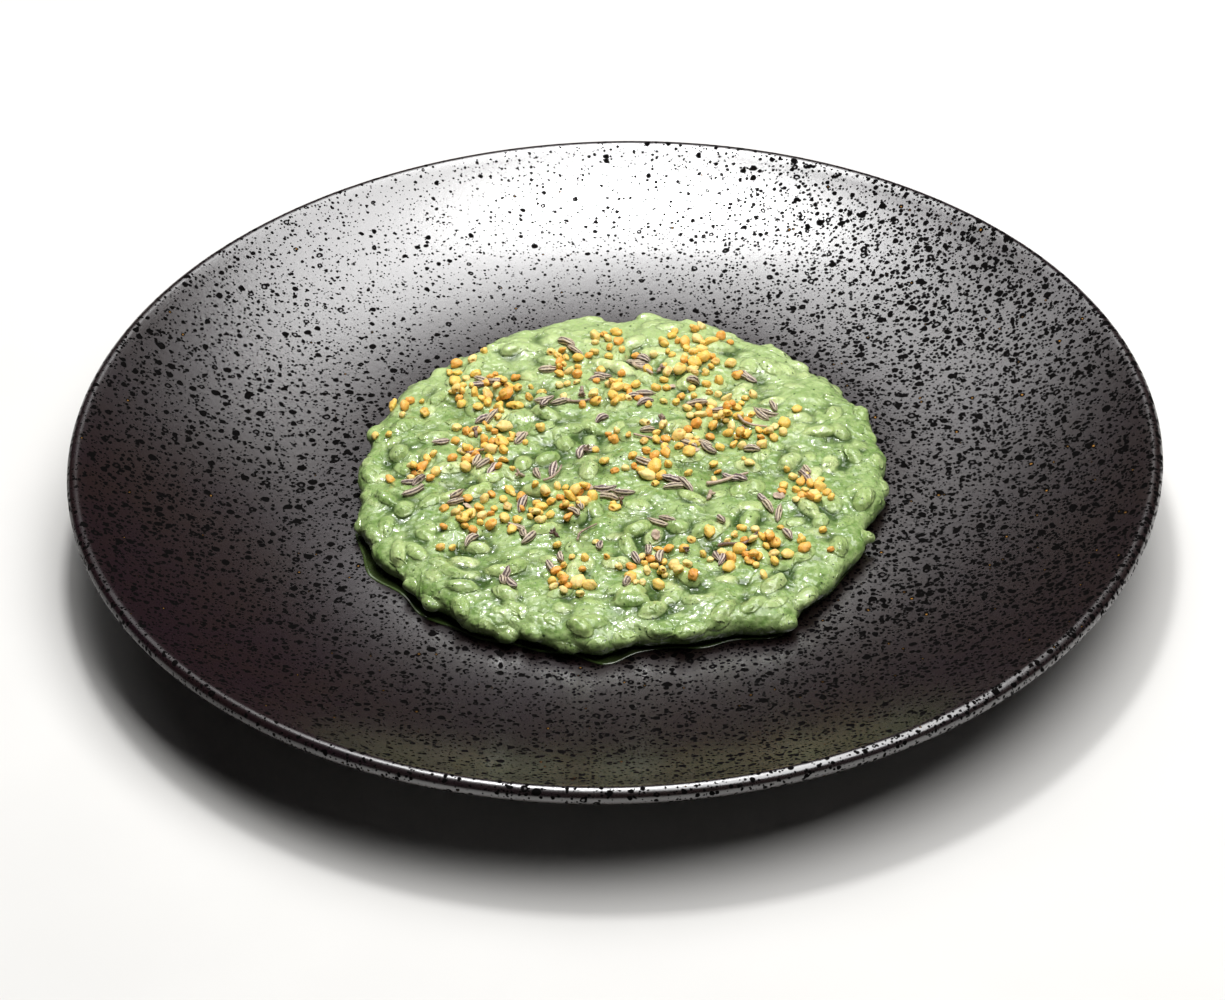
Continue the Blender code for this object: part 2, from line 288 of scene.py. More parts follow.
class Speckle:
    """Scattered spots of uneven size and shape: pits in a glaze, flecks of herb in a sauce."""

    def __init__(self) -> None:
        """Builds the group once."""
        inputs = {"Cell": 0.003, "Least": 0.1, "Most": 0.3, "Wander": 0.0004, "Soft": 0.08}
        wiring, given, result = new_group("speckle", inputs, ("Spot", "Core", "Chance"))
        drift = wiring.add("ShaderNodeTexNoise")
        wiring.feed(drift.inputs["Vector"], given["Place"])
        wiring.feed(drift.inputs["Scale"], wiring.math("DIVIDE", 1.6, given["Cell"]))
        wiring.feed(drift.inputs["Detail"], 1.0)
        centred = wiring.add("ShaderNodeVectorMath", operation="SUBTRACT")
        wiring.feed(centred.inputs[0], drift.outputs["Color"])
        centred.inputs[1].default_value = (0.5, 0.5, 0.5)
        spread = wiring.add("ShaderNodeVectorMath", operation="SCALE")
        wiring.feed(spread.inputs[0], centred.outputs[0])
        wiring.feed(spread.inputs["Scale"], given["Wander"])
        moved = wiring.add("ShaderNodeVectorMath", operation="ADD")
        wiring.feed(moved.inputs[0], given["Place"])
        wiring.feed(moved.inputs[1], spread.outputs[0])
        cells = wiring.add("ShaderNodeTexVoronoi", feature="F1")
        wiring.feed(cells.inputs["Vector"], moved.outputs[0])
        wiring.feed(cells.inputs["Scale"], wiring.math("DIVIDE", 1.0, given["Cell"]))
        split = wiring.add("ShaderNodeSeparateColor")
        wiring.feed(split.inputs[0], cells.outputs["Color"])
        rare = wiring.math("POWER", split.outputs[0], 1.6)
        reach = wiring.math("MULTIPLY", wiring.math("SUBTRACT", given["Most"], given["Least"]), rare)
        radius = wiring.math("ADD", given["Least"], reach)
        inside = wiring.math("SUBTRACT", radius, cells.outputs["Distance"])
        spot = wiring.math("DIVIDE", inside, given["Soft"])
        inner = wiring.math("MULTIPLY", wiring.math("DIVIDE", radius, given["Soft"]), 0.55)
        core = wiring.math("SUBTRACT", spot, inner)
        for label, value in (("Spot", spot), ("Core", core), ("Chance", split.outputs[1])):
            clamp = wiring.add("ShaderNodeClamp")
            wiring.feed(clamp.inputs[0], value)
            wiring.feed(result.inputs[label], clamp.outputs[0])
        self.tree = wiring.tree

    def on(self, wiring: Wiring, place: object, **sizes: float) -> dict[str, bpy.types.NodeSocket]:
        """Places the group in a material.

        Args:
            wiring: the material's wiring.
            place: its coordinates.
            sizes: values for the group's inputs.

        Returns:
            The group's outputs by name.
        """
        node = wiring.add("ShaderNodeGroup", node_tree=self.tree)
        wiring.feed(node.inputs["Place"], place)
        for label, value in sizes.items():
            wiring.feed(node.inputs[label.capitalize()], value)
        return {socket.name: socket for socket in node.outputs}


class Mottle:
    """Soft blotches at two sizes, which break up any even colour."""

    def __init__(self) -> None:
        """Builds the group once."""
        wiring, given, result = new_group("mottle", {"Broad": 0.02, "Fine": 0.004, "Share": 0.4}, ("Tone",))
        layers = []
        for label in ("Broad", "Fine"):
            layer = wiring.add("ShaderNodeTexNoise")
            wiring.feed(layer.inputs["Vector"], given["Place"])
            wiring.feed(layer.inputs["Scale"], wiring.math("DIVIDE", 1.0, given[label]))
            wiring.feed(layer.inputs["Detail"], 3.0)
            layers.append(layer.outputs["Fac"])
        fine = wiring.math("MULTIPLY", wiring.math("SUBTRACT", layers[1], layers[0]), given["Share"])
        wiring.feed(result.inputs["Tone"], wiring.span(wiring.math("ADD", layers[0], fine), 0.3, 0.7))
        self.tree = wiring.tree

    def on(
        self, wiring: Wiring, place: object, broad: float, fine: float, share: float = 0.4
    ) -> bpy.types.NodeSocket:
        """Places the group in a material.

        Args:
            wiring: the material's wiring.
            place: its coordinates.
            broad: the size of the larger blotches in metres.
            fine: the size of the smaller ones.
            share: how much the smaller ones count.

        Returns:
            The tone, 0 to 1.
        """
        node = wiring.add("ShaderNodeGroup", node_tree=self.tree)
        wiring.feed(node.inputs["Place"], place)
        for label, value in (("Broad", broad), ("Fine", fine), ("Share", share)):
            wiring.feed(node.inputs[label], value)
        return node.outputs["Tone"]


@dataclass(frozen=True)
class Patterns:
    """The shader groups that the finishes share."""

    speckle: Speckle
    mottle: Mottle


def new_material(name: str) -> tuple[bpy.types.Material, Wiring, bpy.types.Node]:
    """Starts a material.

    Args:
        name: its name.

    Returns:
        The material, its wiring and its main shader.
    """
    material = bpy.data.materials.new(name)
    material.use_nodes = True
    return material, Wiring(material.node_tree), material.node_tree.nodes["Principled BSDF"]


# ---- Finishes ----


@dataclass(frozen=True)
class GlazeFinish:
    """A satin, near-black stoneware glaze, pitted all over, with bare clay under the foot."""

    base: Colour = (0.0080, 0.0015, 0.0040)
    warm: Colour = (0.0115, 0.0042, 0.0034)
    # share of the coat kept on the front left, where the weaker coat paints shade
    shaded_corner_coat: float = 0.42
    pit: Colour = (0.0010, 0.0006, 0.0006)
    glint: Colour = (0.30, 0.14, 0.03)
    clay: Colour = (0.22, 0.15, 0.10)
    clay_top: float = 0.0007
    sheen: float = 0.26
    gloss: float = 2.2
    pit_depth: float = 0.00030
    skin_depth: float = 0.000022
    # middle and reach of the spot round the back wall where the pits shrink, which paints the lamps'
    # reflection washing over them
    reflection_spot: tuple[float, float, float] = (-0.02, 0.118, 0.020)
    reflection_radius: float = 0.120
    pit_sizes: tuple[tuple[str, float, float, float, float, float], ...] = (
        ("large", 0.0029, 0.17, 0.46, 0.0010, 0.05),
        ("middle", 0.0016, 0.19, 0.48, 0.0006, 0.07),
        ("small", 0.0010, 0.18, 0.46, 0.0003, 0.10),
    )

    def material(self, patterns: Patterns) -> bpy.types.Material:
        """Makes the glaze.

        Args:
            patterns: the shared shader groups.

        Returns:
            The material.
        """
        material, wiring, shader = new_material("dark_glaze")
        place = wiring.place()
        # painted reflection: the pits are made smaller round the back wall, where the lamps' reflection
        # falls, so the glaze looks brighter there
        away = wiring.distance(place, self.reflection_spot)
        near = wiring.span(away, self.reflection_radius * 0.1, self.reflection_radius, 0.67, 1.0)
        across, along, height = wiring.split(place)
        even = wiring.math("MULTIPLY", near, wiring.span(along, -0.12, -0.02, 0.88, 1.0))
        denser = wiring.math("MULTIPLY", even, wiring.span(across, -0.12, 0.12, 0.99, 1.22))
        sizes = {}
        for name, cell, least, most, wander, soft in self.pit_sizes:
            reach = even if name == "large" else denser
            most = wiring.math("MULTIPLY", reach, most)
            least = wiring.math("MULTIPLY", reach, least)
            sizes[name] = patterns.speckle.on(
                wiring, place, cell=cell, least=least, most=most, wander=wander, soft=soft
            )
        large, middle, small = sizes["large"], sizes["middle"], sizes["small"]
        pits = wiring.math("MAXIMUM", large["Spot"], wiring.math("MAXIMUM", middle["Spot"], small["Spot"]))
        islet = wiring.math("MULTIPLY", large["Core"], wiring.span(large["Chance"], 0.66, 0.70))
        pits = wiring.math("SUBTRACT", pits, wiring.math("MULTIPLY", islet, 0.75))
        tone = patterns.mottle.on(wiring, place, broad=0.045, fine=0.006, share=0.35)
        glaze = wiring.blend(tone, self.base, self.warm)
        spotted = wiring.blend(pits, glaze, self.pit)
        rare = wiring.math("MULTIPLY", middle["Core"], wiring.span(middle["Chance"], 0.955, 0.965))
        sparked = wiring.blend(rare, spotted, self.glint)
        bare = wiring.span(height, self.clay_top * 0.8, self.clay_top, 1.0, 0.0)
        wiring.feed(shader.inputs["Base Color"], wiring.blend(bare, sparked, self.clay))
        cover = wiring.math("SUBTRACT", 1.0, wiring.math("MAXIMUM", pits, bare))
        # painted shade: the coat is weakened on the front left, which darkens the glaze's reflection on that
        # side
        left = wiring.span(across, -0.11, -0.03, 1.0, 0.0)
        front = wiring.span(along, -0.02, 0.05, 1.0, 0.0)
        shaded_corner = wiring.math("MULTIPLY", left, front)
        sheen = wiring.math("MULTIPLY", cover, wiring.span(shaded_corner, 0.0, 1.0, 1.0, self.shaded_corner_coat))
        wiring.feed(shader.inputs["Coat Weight"], sheen)
        wiring.feed(shader.inputs["Roughness"], wiring.span(tone, 0.0, 1.0, 0.72, 0.82))
        skin = wiring.bump(wiring.noise(place, 0.0016, 3.0), self.skin_depth)
        normal = wiring.bump(wiring.math("SUBTRACT", 1.0, pits), self.pit_depth, 1.0, skin)
        wiring.feed(shader.inputs["Normal"], normal)
        wiring.feed(shader.inputs["Coat Normal"], skin)
        shader.inputs["Specular IOR Level"].default_value = 0.05
        shader.inputs["Coat Roughness"].default_value = self.sheen
        shader.inputs["Coat IOR"].default_value = self.gloss
        return material


@dataclass(frozen=True)
class RisottoFinish:
    """Creamy green sauce over pale grains, wet, with fine dark flecks of herb."""

    sauce: Colour = (0.172, 0.298, 0.068)
    # the colour of the painted shade in hollows, along grain outlines and at the foot of the mound
    sauce_pale: Colour = (0.430, 0.555, 0.230)
    painted_shade: Colour = (0.036, 0.080, 0.012)
    rice: Colour = (0.500, 0.610, 0.225)
    rice_pale: Colour = (0.700, 0.770, 0.380)
    fleck: Colour = (0.022, 0.046, 0.012)
    roughness: float = 0.40
    relief: float = 0.00078
    curl: float = 0.00026
    proud: float = 0.00030
    # the mound's base height, above which the painted shade at its foot fades out
    floor: float = 0.0103

    def material(self, patterns: Patterns) -> bpy.types.Material:
        """Makes the risotto.

        Args:
            patterns: the shared shader groups.

        Returns:
            The material.
        """
        material, wiring, shader = new_material("herb_risotto")
        place = wiring.place()
        rice, tone, bare, hollow = (wiring.stored(name) for name in ("rice", "tone", "bare", "hollow"))
        cream = patterns.mottle.on(wiring, place, broad=0.007, fine=0.0016, share=0.5)
        # painted light: the sauce and the grains grow paler towards the back of the mound, where the lamps
        # behind it light it most
        rear = wiring.span(wiring.split(place)[1], 0.005, 0.060, 0.0, 0.65)
        sauce = wiring.blend(wiring.math("ADD", cream, rear), self.sauce, self.sauce_pale)
        grain = wiring.blend(wiring.math("ADD", tone, rear), self.rice, self.rice_pale)
        cover = wiring.span(wiring.noise(place, 0.0022, 2.0), 0.25, 0.75, 0.35, 1.0)
        shown = wiring.math("MULTIPLY", wiring.math("MULTIPLY", rice, bare), cover)
        colour = wiring.blend(shown, sauce, grain)
        # painted shade: the skin darkens towards the shade colour along grain outlines, in hollows and near
        # the foot of the mound
        outline = wiring.math("ABSOLUTE", wiring.math("SUBTRACT", rice, 0.18))
        rim = wiring.span(outline, 0.0, 0.26, 1.0, 0.0)
        crease = wiring.math("MULTIPLY", rim, wiring.span(cover, 0.5, 0.9, 0.52, 0.12))
        low = wiring.span(wiring.split(place)[2], self.floor + 0.0010, self.floor + 0.0058, 0.92, 0.0)
        hollow_shade = wiring.math("MAXIMUM", wiring.math("MULTIPLY", hollow, 0.95), low)
        shade = wiring.math("MAXIMUM", hollow_shade, crease)
        colour = wiring.blend(shade, colour, self.painted_shade)
        dust = patterns.speckle.on(
            wiring, place, cell=0.00042, least=0.10, most=0.46, wander=0.0003, soft=0.20
        )
        leaf = patterns.speckle.on(
            wiring, place, cell=0.0017, least=0.02, most=0.23, wander=0.0007, soft=0.05
        )
        thick = wiring.span(wiring.noise(place, 0.005, 2.0), 0.28, 0.60, 0.35, 0.95)
        # painted light: the dark flecks also thin out towards the back, which keeps the lit back paler
        thick = wiring.math("MULTIPLY", thick, wiring.math("SUBTRACT", 1.0, rear))
        dusted = wiring.math("MULTIPLY", dust["Spot"], thick)
        flecks = wiring.math("MAXIMUM", dusted, wiring.math("MULTIPLY", leaf["Spot"], 0.9))
        wiring.feed(shader.inputs["Base Color"], wiring.blend(flecks, colour, self.fleck))
        damp = wiring.noise(place, 0.006, 2.0)
        wet = wiring.span(damp, 0.35, 0.65, self.roughness + 0.10, self.roughness - 0.06)
        wiring.feed(shader.inputs["Roughness"], wet)
        wiring.feed(shader.inputs["Coat Weight"], wiring.span(damp, 0.32, 0.56, 0.35, 1.0))
        broad = wiring.bump(wiring.noise(place, 0.0026, 1.0), self.relief)
        wobble = wiring.math("MULTIPLY", wiring.math("SUBTRACT", wiring.noise(place, 0.0014, 1.0), 0.5), 0.5)
        proud = wiring.bump(wiring.span(wiring.math("ADD", rice, wobble), 0.10, 1.0), self.proud, 1.0, broad)
        fold = wiring.math("ABSOLUTE", wiring.math("SUBTRACT", wiring.noise(place, 0.0052, 1.0), 0.5))
        here = wiring.span(wiring.noise(place, 0.0034, 1.0), 0.52, 0.62)
        crest = wiring.math("MULTIPLY", wiring.span(fold, 0.0, 0.060, 1.0, 0.0), here)
        curled = wiring.bump(crest, self.curl, 1.0, proud)
        grit = wiring.bump(wiring.noise(place, 0.0011, 1.0), self.relief * 0.18, 1.0, curled)
        wiring.feed(shader.inputs["Normal"], grit)
        wiring.feed(shader.inputs["Coat Normal"], grit)
        shader.inputs["IOR"].default_value = 1.40
        shader.inputs["Specular IOR Level"].default_value = 0.25
        shader.inputs["Coat Roughness"].default_value = 0.04
        shader.inputs["Coat IOR"].default_value = 1.52
        shader.inputs["Subsurface Weight"].default_value = 0.12
        shader.inputs["Subsurface Radius"].default_value = (0.6, 1.0, 0.3)
        shader.inputs["Subsurface Scale"].default_value = 0.0016
        return material


@dataclass(frozen=True)
class FilmFinish:
    """The thin, wet sauce that has run out onto the plate."""

    tint: Colour = (0.055, 0.075, 0.025)
    thick: Colour = (0.090, 0.150, 0.040)

    def material(self, patterns: Patterns) -> bpy.types.Material:
        """Makes the film.

        Args:
            patterns: the shared shader groups.

        Returns:
            The material.
        """
        material, wiring, shader = new_material("thin_sauce")
        place = wiring.place()
        tone = patterns.mottle.on(wiring, place, broad=0.008, fine=0.0015)
        wiring.feed(shader.inputs["Base Color"], wiring.blend(tone, self.tint, self.thick))
        wiring.feed(shader.inputs["Normal"], wiring.bump(wiring.noise(place, 0.0025, 2.0), 0.00012))
        shader.inputs["Roughness"].default_value = 0.12
        specks = patterns.speckle.on(
            wiring, place, cell=0.0007, least=0.05, most=0.40, wander=0.0003, soft=0.10
        )
        veil = wiring.span(specks["Spot"], 0.0, 1.0, 0.42, 0.75)
        bead = wiring.math("MULTIPLY", wiring.stored("bead"), 0.95)
        wiring.feed(shader.inputs["Alpha"], wiring.math("MAXIMUM", veil, bead))
        shader.inputs["Coat Weight"].default_value = 1.0
        shader.inputs["Coat Roughness"].default_value = 0.06
        shader.inputs["Coat IOR"].default_value = 1.60
        return material


@dataclass(frozen=True)
class PollenFinish:
    """Bee pollen: dry, waxy granules from straw through gold to orange, with brown painted shade in their
    dents.
    """

    straw: Colour = (0.93, 0.72, 0.28)
    gold: Colour = (0.93, 0.58, 0.10)
    orange: Colour = (0.88, 0.36, 0.045)
    dent: Colour = (0.58, 0.25, 0.03)

    def material(self, patterns: Patterns) -> bpy.types.Material:
        """Makes the pollen.

        Args:
            patterns: the shared shader groups.

        Returns:
            The material.
        """
        material, wiring, shader = new_material("bee_pollen")
        place = wiring.place()
        tone, dent = wiring.stored("tone"), wiring.stored("dent")
        pale = wiring.blend(wiring.span(tone, 0.0, 0.5), self.straw, self.gold)
        colour = wiring.blend(wiring.span(tone, 0.62, 0.92), pale, self.orange)
        dusty = patterns.mottle.on(wiring, place, broad=0.0012, fine=0.0004, share=0.5)
        colour = wiring.blend(wiring.math("MULTIPLY", dusty, 0.28), colour, self.straw)
        # painted shade: the granules turn brown in their dents
        wiring.feed(shader.inputs["Base Color"], wiring.blend(dent, colour, self.dent))
        coarse = wiring.bump(wiring.noise(place, 0.0007, 2.0), 0.00016)
        fine = wiring.bump(wiring.noise(place, 0.00022, 1.0), 0.00004, 1.0, coarse)
        wiring.feed(shader.inputs["Normal"], fine)
        shader.inputs["Roughness"].default_value = 0.48
        shader.inputs["Subsurface Weight"].default_value = 0.15
        shader.inputs["Subsurface Radius"].default_value = (1.0, 0.5, 0.1)
        shader.inputs["Subsurface Scale"].default_value = 0.0008
        return material


@dataclass(frozen=True)
class SeedFinish:
    """Fennel seeds: pale ribs over mauve-brown grooves."""

    rib: Colour = (0.72, 0.61, 0.51)
    flank: Colour = (0.25, 0.175, 0.165)
    groove: Colour = (0.055, 0.030, 0.034)
    straw: Colour = (0.58, 0.48, 0.30)

    def material(self, patterns: Patterns) -> bpy.types.Material:
        """Makes the seeds.

        Args:
            patterns: the shared shader groups.

        Returns:
            The material.
        """
        material, wiring, shader = new_material("fennel_seed")
        place = wiring.place()
        rib, tone = wiring.stored("rib"), wiring.stored("tone")
        worn = patterns.mottle.on(wiring, place, broad=0.0018, fine=0.0005, share=0.6)
        flank = wiring.blend(wiring.math("MULTIPLY", tone, 0.8), self.flank, self.straw)
        rough = wiring.math("MULTIPLY", wiring.math("SUBTRACT", wiring.noise(place, 0.0006, 2.0), 0.5), 1.2)
        high = wiring.math("ADD", rib, rough)
        dark = wiring.blend(wiring.span(high, 0.04, 0.46), self.groove, flank)
        pale = wiring.blend(wiring.math("MULTIPLY", tone, 0.6), self.rib, self.straw)
        rubbed = wiring.span(worn, 0.0, 0.7, 0.55, 1.0)
        ridge = wiring.math("MULTIPLY", wiring.span(high, 0.42, 0.78), rubbed)
        wiring.feed(shader.inputs["Base Color"], wiring.blend(ridge, dark, pale))
        wiring.feed(shader.inputs["Normal"], wiring.bump(wiring.noise(place, 0.0004, 2.0), 0.00006))
        shader.inputs["Roughness"].default_value = 0.62
        return material


@dataclass(frozen=True)
class DriedFinish:
    """Dried stems and flower bits: brown, paling to straw where they are dry."""

    bark: Colour = (0.115, 0.060, 0.050)
    straw: Colour = (0.60, 0.46, 0.34)

    def material(self, patterns: Patterns) -> bpy.types.Material:
        """Makes the dried bits.

        Args:
            patterns: the shared shader groups.

        Returns:
            The material.
        """
        material, wiring, shader = new_material("dried_flower")
        place = wiring.place()
        patch = patterns.mottle.on(wiring, place, broad=0.0022, fine=0.0006, share=0.5)
        tone = wiring.math("MULTIPLY", wiring.stored("tone"), 0.6)
        share = wiring.math("ADD", wiring.math("MULTIPLY", patch, 0.55), tone)
        colour = wiring.blend(wiring.span(share, 0.15, 0.95), self.bark, self.straw)
        wiring.feed(shader.inputs["Base Color"], colour)
        wiring.feed(shader.inputs["Normal"], wiring.bump(wiring.noise(place, 0.0005, 2.0), 0.00010))
        shader.inputs["Roughness"].default_value = 0.70
        return material


@dataclass(frozen=True)
class FloorFinish:
    """A plain pale floor."""

    light: Colour = (0.74, 0.73, 0.71)
    shade: Colour = (0.70, 0.69, 0.67)

    def material(self, patterns: Patterns) -> bpy.types.Material:
        """Makes the floor.

        Args:
            patterns: the shared shader groups.

        Returns:
            The material.
        """
        material, wiring, shader = new_material("pale_floor")
        tone = patterns.mottle.on(wiring, wiring.place(), broad=0.4, fine=0.05)
        wiring.feed(shader.inputs["Base Color"], wiring.blend(tone, self.light, self.shade))
        shader.inputs["Roughness"].default_value = 0.6
        return material


# ---- Mesh building ----


def link(name: str, mesh: bpy.types.Mesh) -> bpy.types.Object:
    """Shows a mesh as an object at the origin.

    Args:
        name: the object's name.
        mesh: its mesh.

    Returns:
        The object.
    """
    obj = bpy.data.objects.new(name, mesh)
    bpy.context.scene.collection.objects.link(obj)
    return obj


def settle(obj: bpy.types.Object) -> None:
    """Turns an object and its modifiers into a plain mesh.

    Args:
        obj: the object.
    """
    graph = bpy.context.evaluated_depsgraph_get()
    graph.update()
    mesh = bpy.data.meshes.new_from_object(obj.evaluated_get(graph), depsgraph=graph)
    mesh.name = obj.name
    obj.modifiers.clear()
    obj.data = mesh


def finish_piece(
    obj: bpy.types.Object, material: bpy.types.Material, replaced: Node | None = None
) -> None:
    """Gives a piece its material and its place in the model.

    Args:
        obj: the piece.
        material: its finish.
        replaced: the CAD node that it stands for, if it does.
    """
    obj.data.materials.clear()
    obj.data.materials.append(material)
    obj.data.shade_smooth()
    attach(obj, Body.ROOT.value)
    if replaced is not None:
        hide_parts(replaced.value)
    LOG.info("%s: %d faces", obj.name, len(obj.data.polygons))


def loft(
    rings: Sequence[Sequence[Vector]], tips: tuple[Vector, Vector], values: Sequence[float] | None = None
) -> bmesh.types.BMesh:
    """Skins a row of rings into a closed body with a point at each end.

    Args:
        rings: rings of points, all with the same count.
        tips: the points before the first ring and after the last.
        values: a value for each point round a ring, stored as "rib".

    Returns:
        The body.
    """
    body = bmesh.new()
    layer = body.verts.layers.float.new("rib")
    rows = []
    for ring in rings:
        row = [body.verts.new(point) for point in ring]
        for index, vert in enumerate(row):
            vert[layer] = values[index] if values else 0.5
        rows.append(row)
    ends = [body.verts.new(tip) for tip in tips]
    for vert in ends:
        vert[layer] = 0.5
    count = len(rings[0])
    for lower, upper in zip(rows, rows[1:]):
        for index in range(count):
            after = (index + 1) % count
            body.faces.new((lower[index], lower[after], upper[after], upper[index]))
    for index in range(count):
        after = (index + 1) % count
        body.faces.new((ends[0], rows[0][after], rows[0][index]))
        body.faces.new((ends[1], rows[-1][index], rows[-1][after]))
    bmesh.ops.recalc_face_normals(body, faces=body.faces)
    return body


def to_mesh(name: str, body: bmesh.types.BMesh) -> bpy.types.Mesh:
    """Closes a body into a mesh.

    Args:
        name: the mesh's name.
        body: the body, which is freed.

    Returns:
        The mesh.
    """
    mesh = bpy.data.meshes.new(name)
    body.to_mesh(mesh)
    body.free()
    mesh.shade_smooth()
    return mesh


@dataclass
class Place:
    """Where one copy of a blank goes: its frame, its size along each axis, its blank and its tone."""

    frame: Matrix
    size: Vector
    shape: int
    tone: float


class Scatter:
    """Copies blanks onto places, by Geometry Nodes with the copies made real."""

    def __init__(self) -> None:
        """Builds the node tree once."""
        tree = bpy.data.node_groups.new("scatter", "GeometryNodeTree")
        tree.is_modifier = True
        slots = (
            ("Geometry", "Geometry"), ("Blanks", "Collection"), ("Size", "Float"), ("Finish", "Material")
        )
        for label, kind in slots:
            tree.interface.new_socket(label, in_out="INPUT", socket_type=f"NodeSocket{kind}")
        tree.interface.new_socket("Geometry", in_out="OUTPUT", socket_type="NodeSocketGeometry")
        wiring = Wiring(tree)
        entry, result = wiring.add("NodeGroupInput"), wiring.add("NodeGroupOutput")
        blanks = wiring.add("GeometryNodeCollectionInfo")
        wiring.feed(blanks.inputs["Collection"], entry.outputs["Blanks"])
        blanks.inputs["Separate Children"].default_value = True
        blanks.inputs["Reset Children"].default_value = True
        turn = wiring.add("FunctionNodeEulerToRotation")
        wiring.feed(turn.inputs[0], self.named(wiring, "turn", "FLOAT_VECTOR"))
        sized = wiring.add("ShaderNodeVectorMath", operation="SCALE")
        wiring.feed(sized.inputs[0], self.named(wiring, "size", "FLOAT_VECTOR"))
        wiring.feed(sized.inputs["Scale"], entry.outputs["Size"])
        copies = wiring.add("GeometryNodeInstanceOnPoints")
        wiring.feed(copies.inputs["Points"], entry.outputs["Geometry"])
        wiring.feed(copies.inputs["Instance"], blanks.outputs[0])
        copies.inputs["Pick Instance"].default_value = True
        wiring.feed(copies.inputs["Instance Index"], self.named(wiring, "shape", "INT"))
        wiring.feed(copies.inputs["Rotation"], turn.outputs[0])
        wiring.feed(copies.inputs["Scale"], sized.outputs[0])
        real = wiring.add("GeometryNodeRealizeInstances")
        wiring.feed(real.inputs[0], copies.outputs[0])
        dress = wiring.add("GeometryNodeSetMaterial")
        wiring.feed(dress.inputs["Geometry"], real.outputs[0])
        wiring.feed(dress.inputs["Material"], entry.outputs["Finish"])
        wiring.feed(result.inputs[0], dress.outputs[0])
        self.tree = tree

    @staticmethod
    def named(wiring: Wiring, name: str, kind: str) -> bpy.types.NodeSocket:
        """Reads a value stored on the points.

        Args:
            wiring: the tree's wiring.
            name: the value's name.
            kind: its data type.

        Returns:
            The value.
        """
        node = wiring.add("GeometryNodeInputNamedAttribute", data_type=kind)
        node.inputs["Name"].default_value = name
        return node.outputs["Attribute"]

    def make(
        self,
        name: str,
        blanks: Sequence[bpy.types.Mesh],
        places: Sequence[Place],
        material: bpy.types.Material,
    ) -> bpy.types.Object:
        """Makes one piece of many copies.

        Args:
            name: the piece's name.
            blanks: the meshes to copy.
            places: where the copies go.
            material: what they are made of.

        Returns:
            The piece, a plain mesh.
        """
        stock = bpy.data.collections.new(f"{name}_blanks")
        for index, blank in enumerate(blanks):
            stock.objects.link(bpy.data.objects.new(f"{name}_blank_{index:02d}", blank))
        points = bpy.data.meshes.new(name)
        points.from_pydata([tuple(place.frame.translation) for place in places], [], [])
        columns = {
            "turn": (
                "FLOAT_VECTOR", "vector", [value for place in places for value in place.frame.to_euler()]
            ),
            "size": ("FLOAT_VECTOR", "vector", [value for place in places for value in place.size]),
            "shape": ("INT", "value", [place.shape for place in places]),
            "tone": ("FLOAT", "value", [place.tone for place in places]),
        }
        for label, (kind, field, values) in columns.items():
            points.attributes.new(label, kind, "POINT").data.foreach_set(field, values)
        piece = link(name, points)
        modifier = piece.modifiers.new("scatter", "NODES")
        modifier.node_group = self.tree
        given = {"Blanks": stock, "Size": 1.0, "Finish": material}
        for socket in self.tree.interface.items_tree:
            if socket.in_out == "INPUT" and socket.name in given:
                modifier[socket.identifier] = given[socket.name]
        settle(piece)
        for blank in list(stock.objects):
            bpy.data.objects.remove(blank)
        bpy.data.collections.remove(stock)
        return piece


# ---- Plate ----


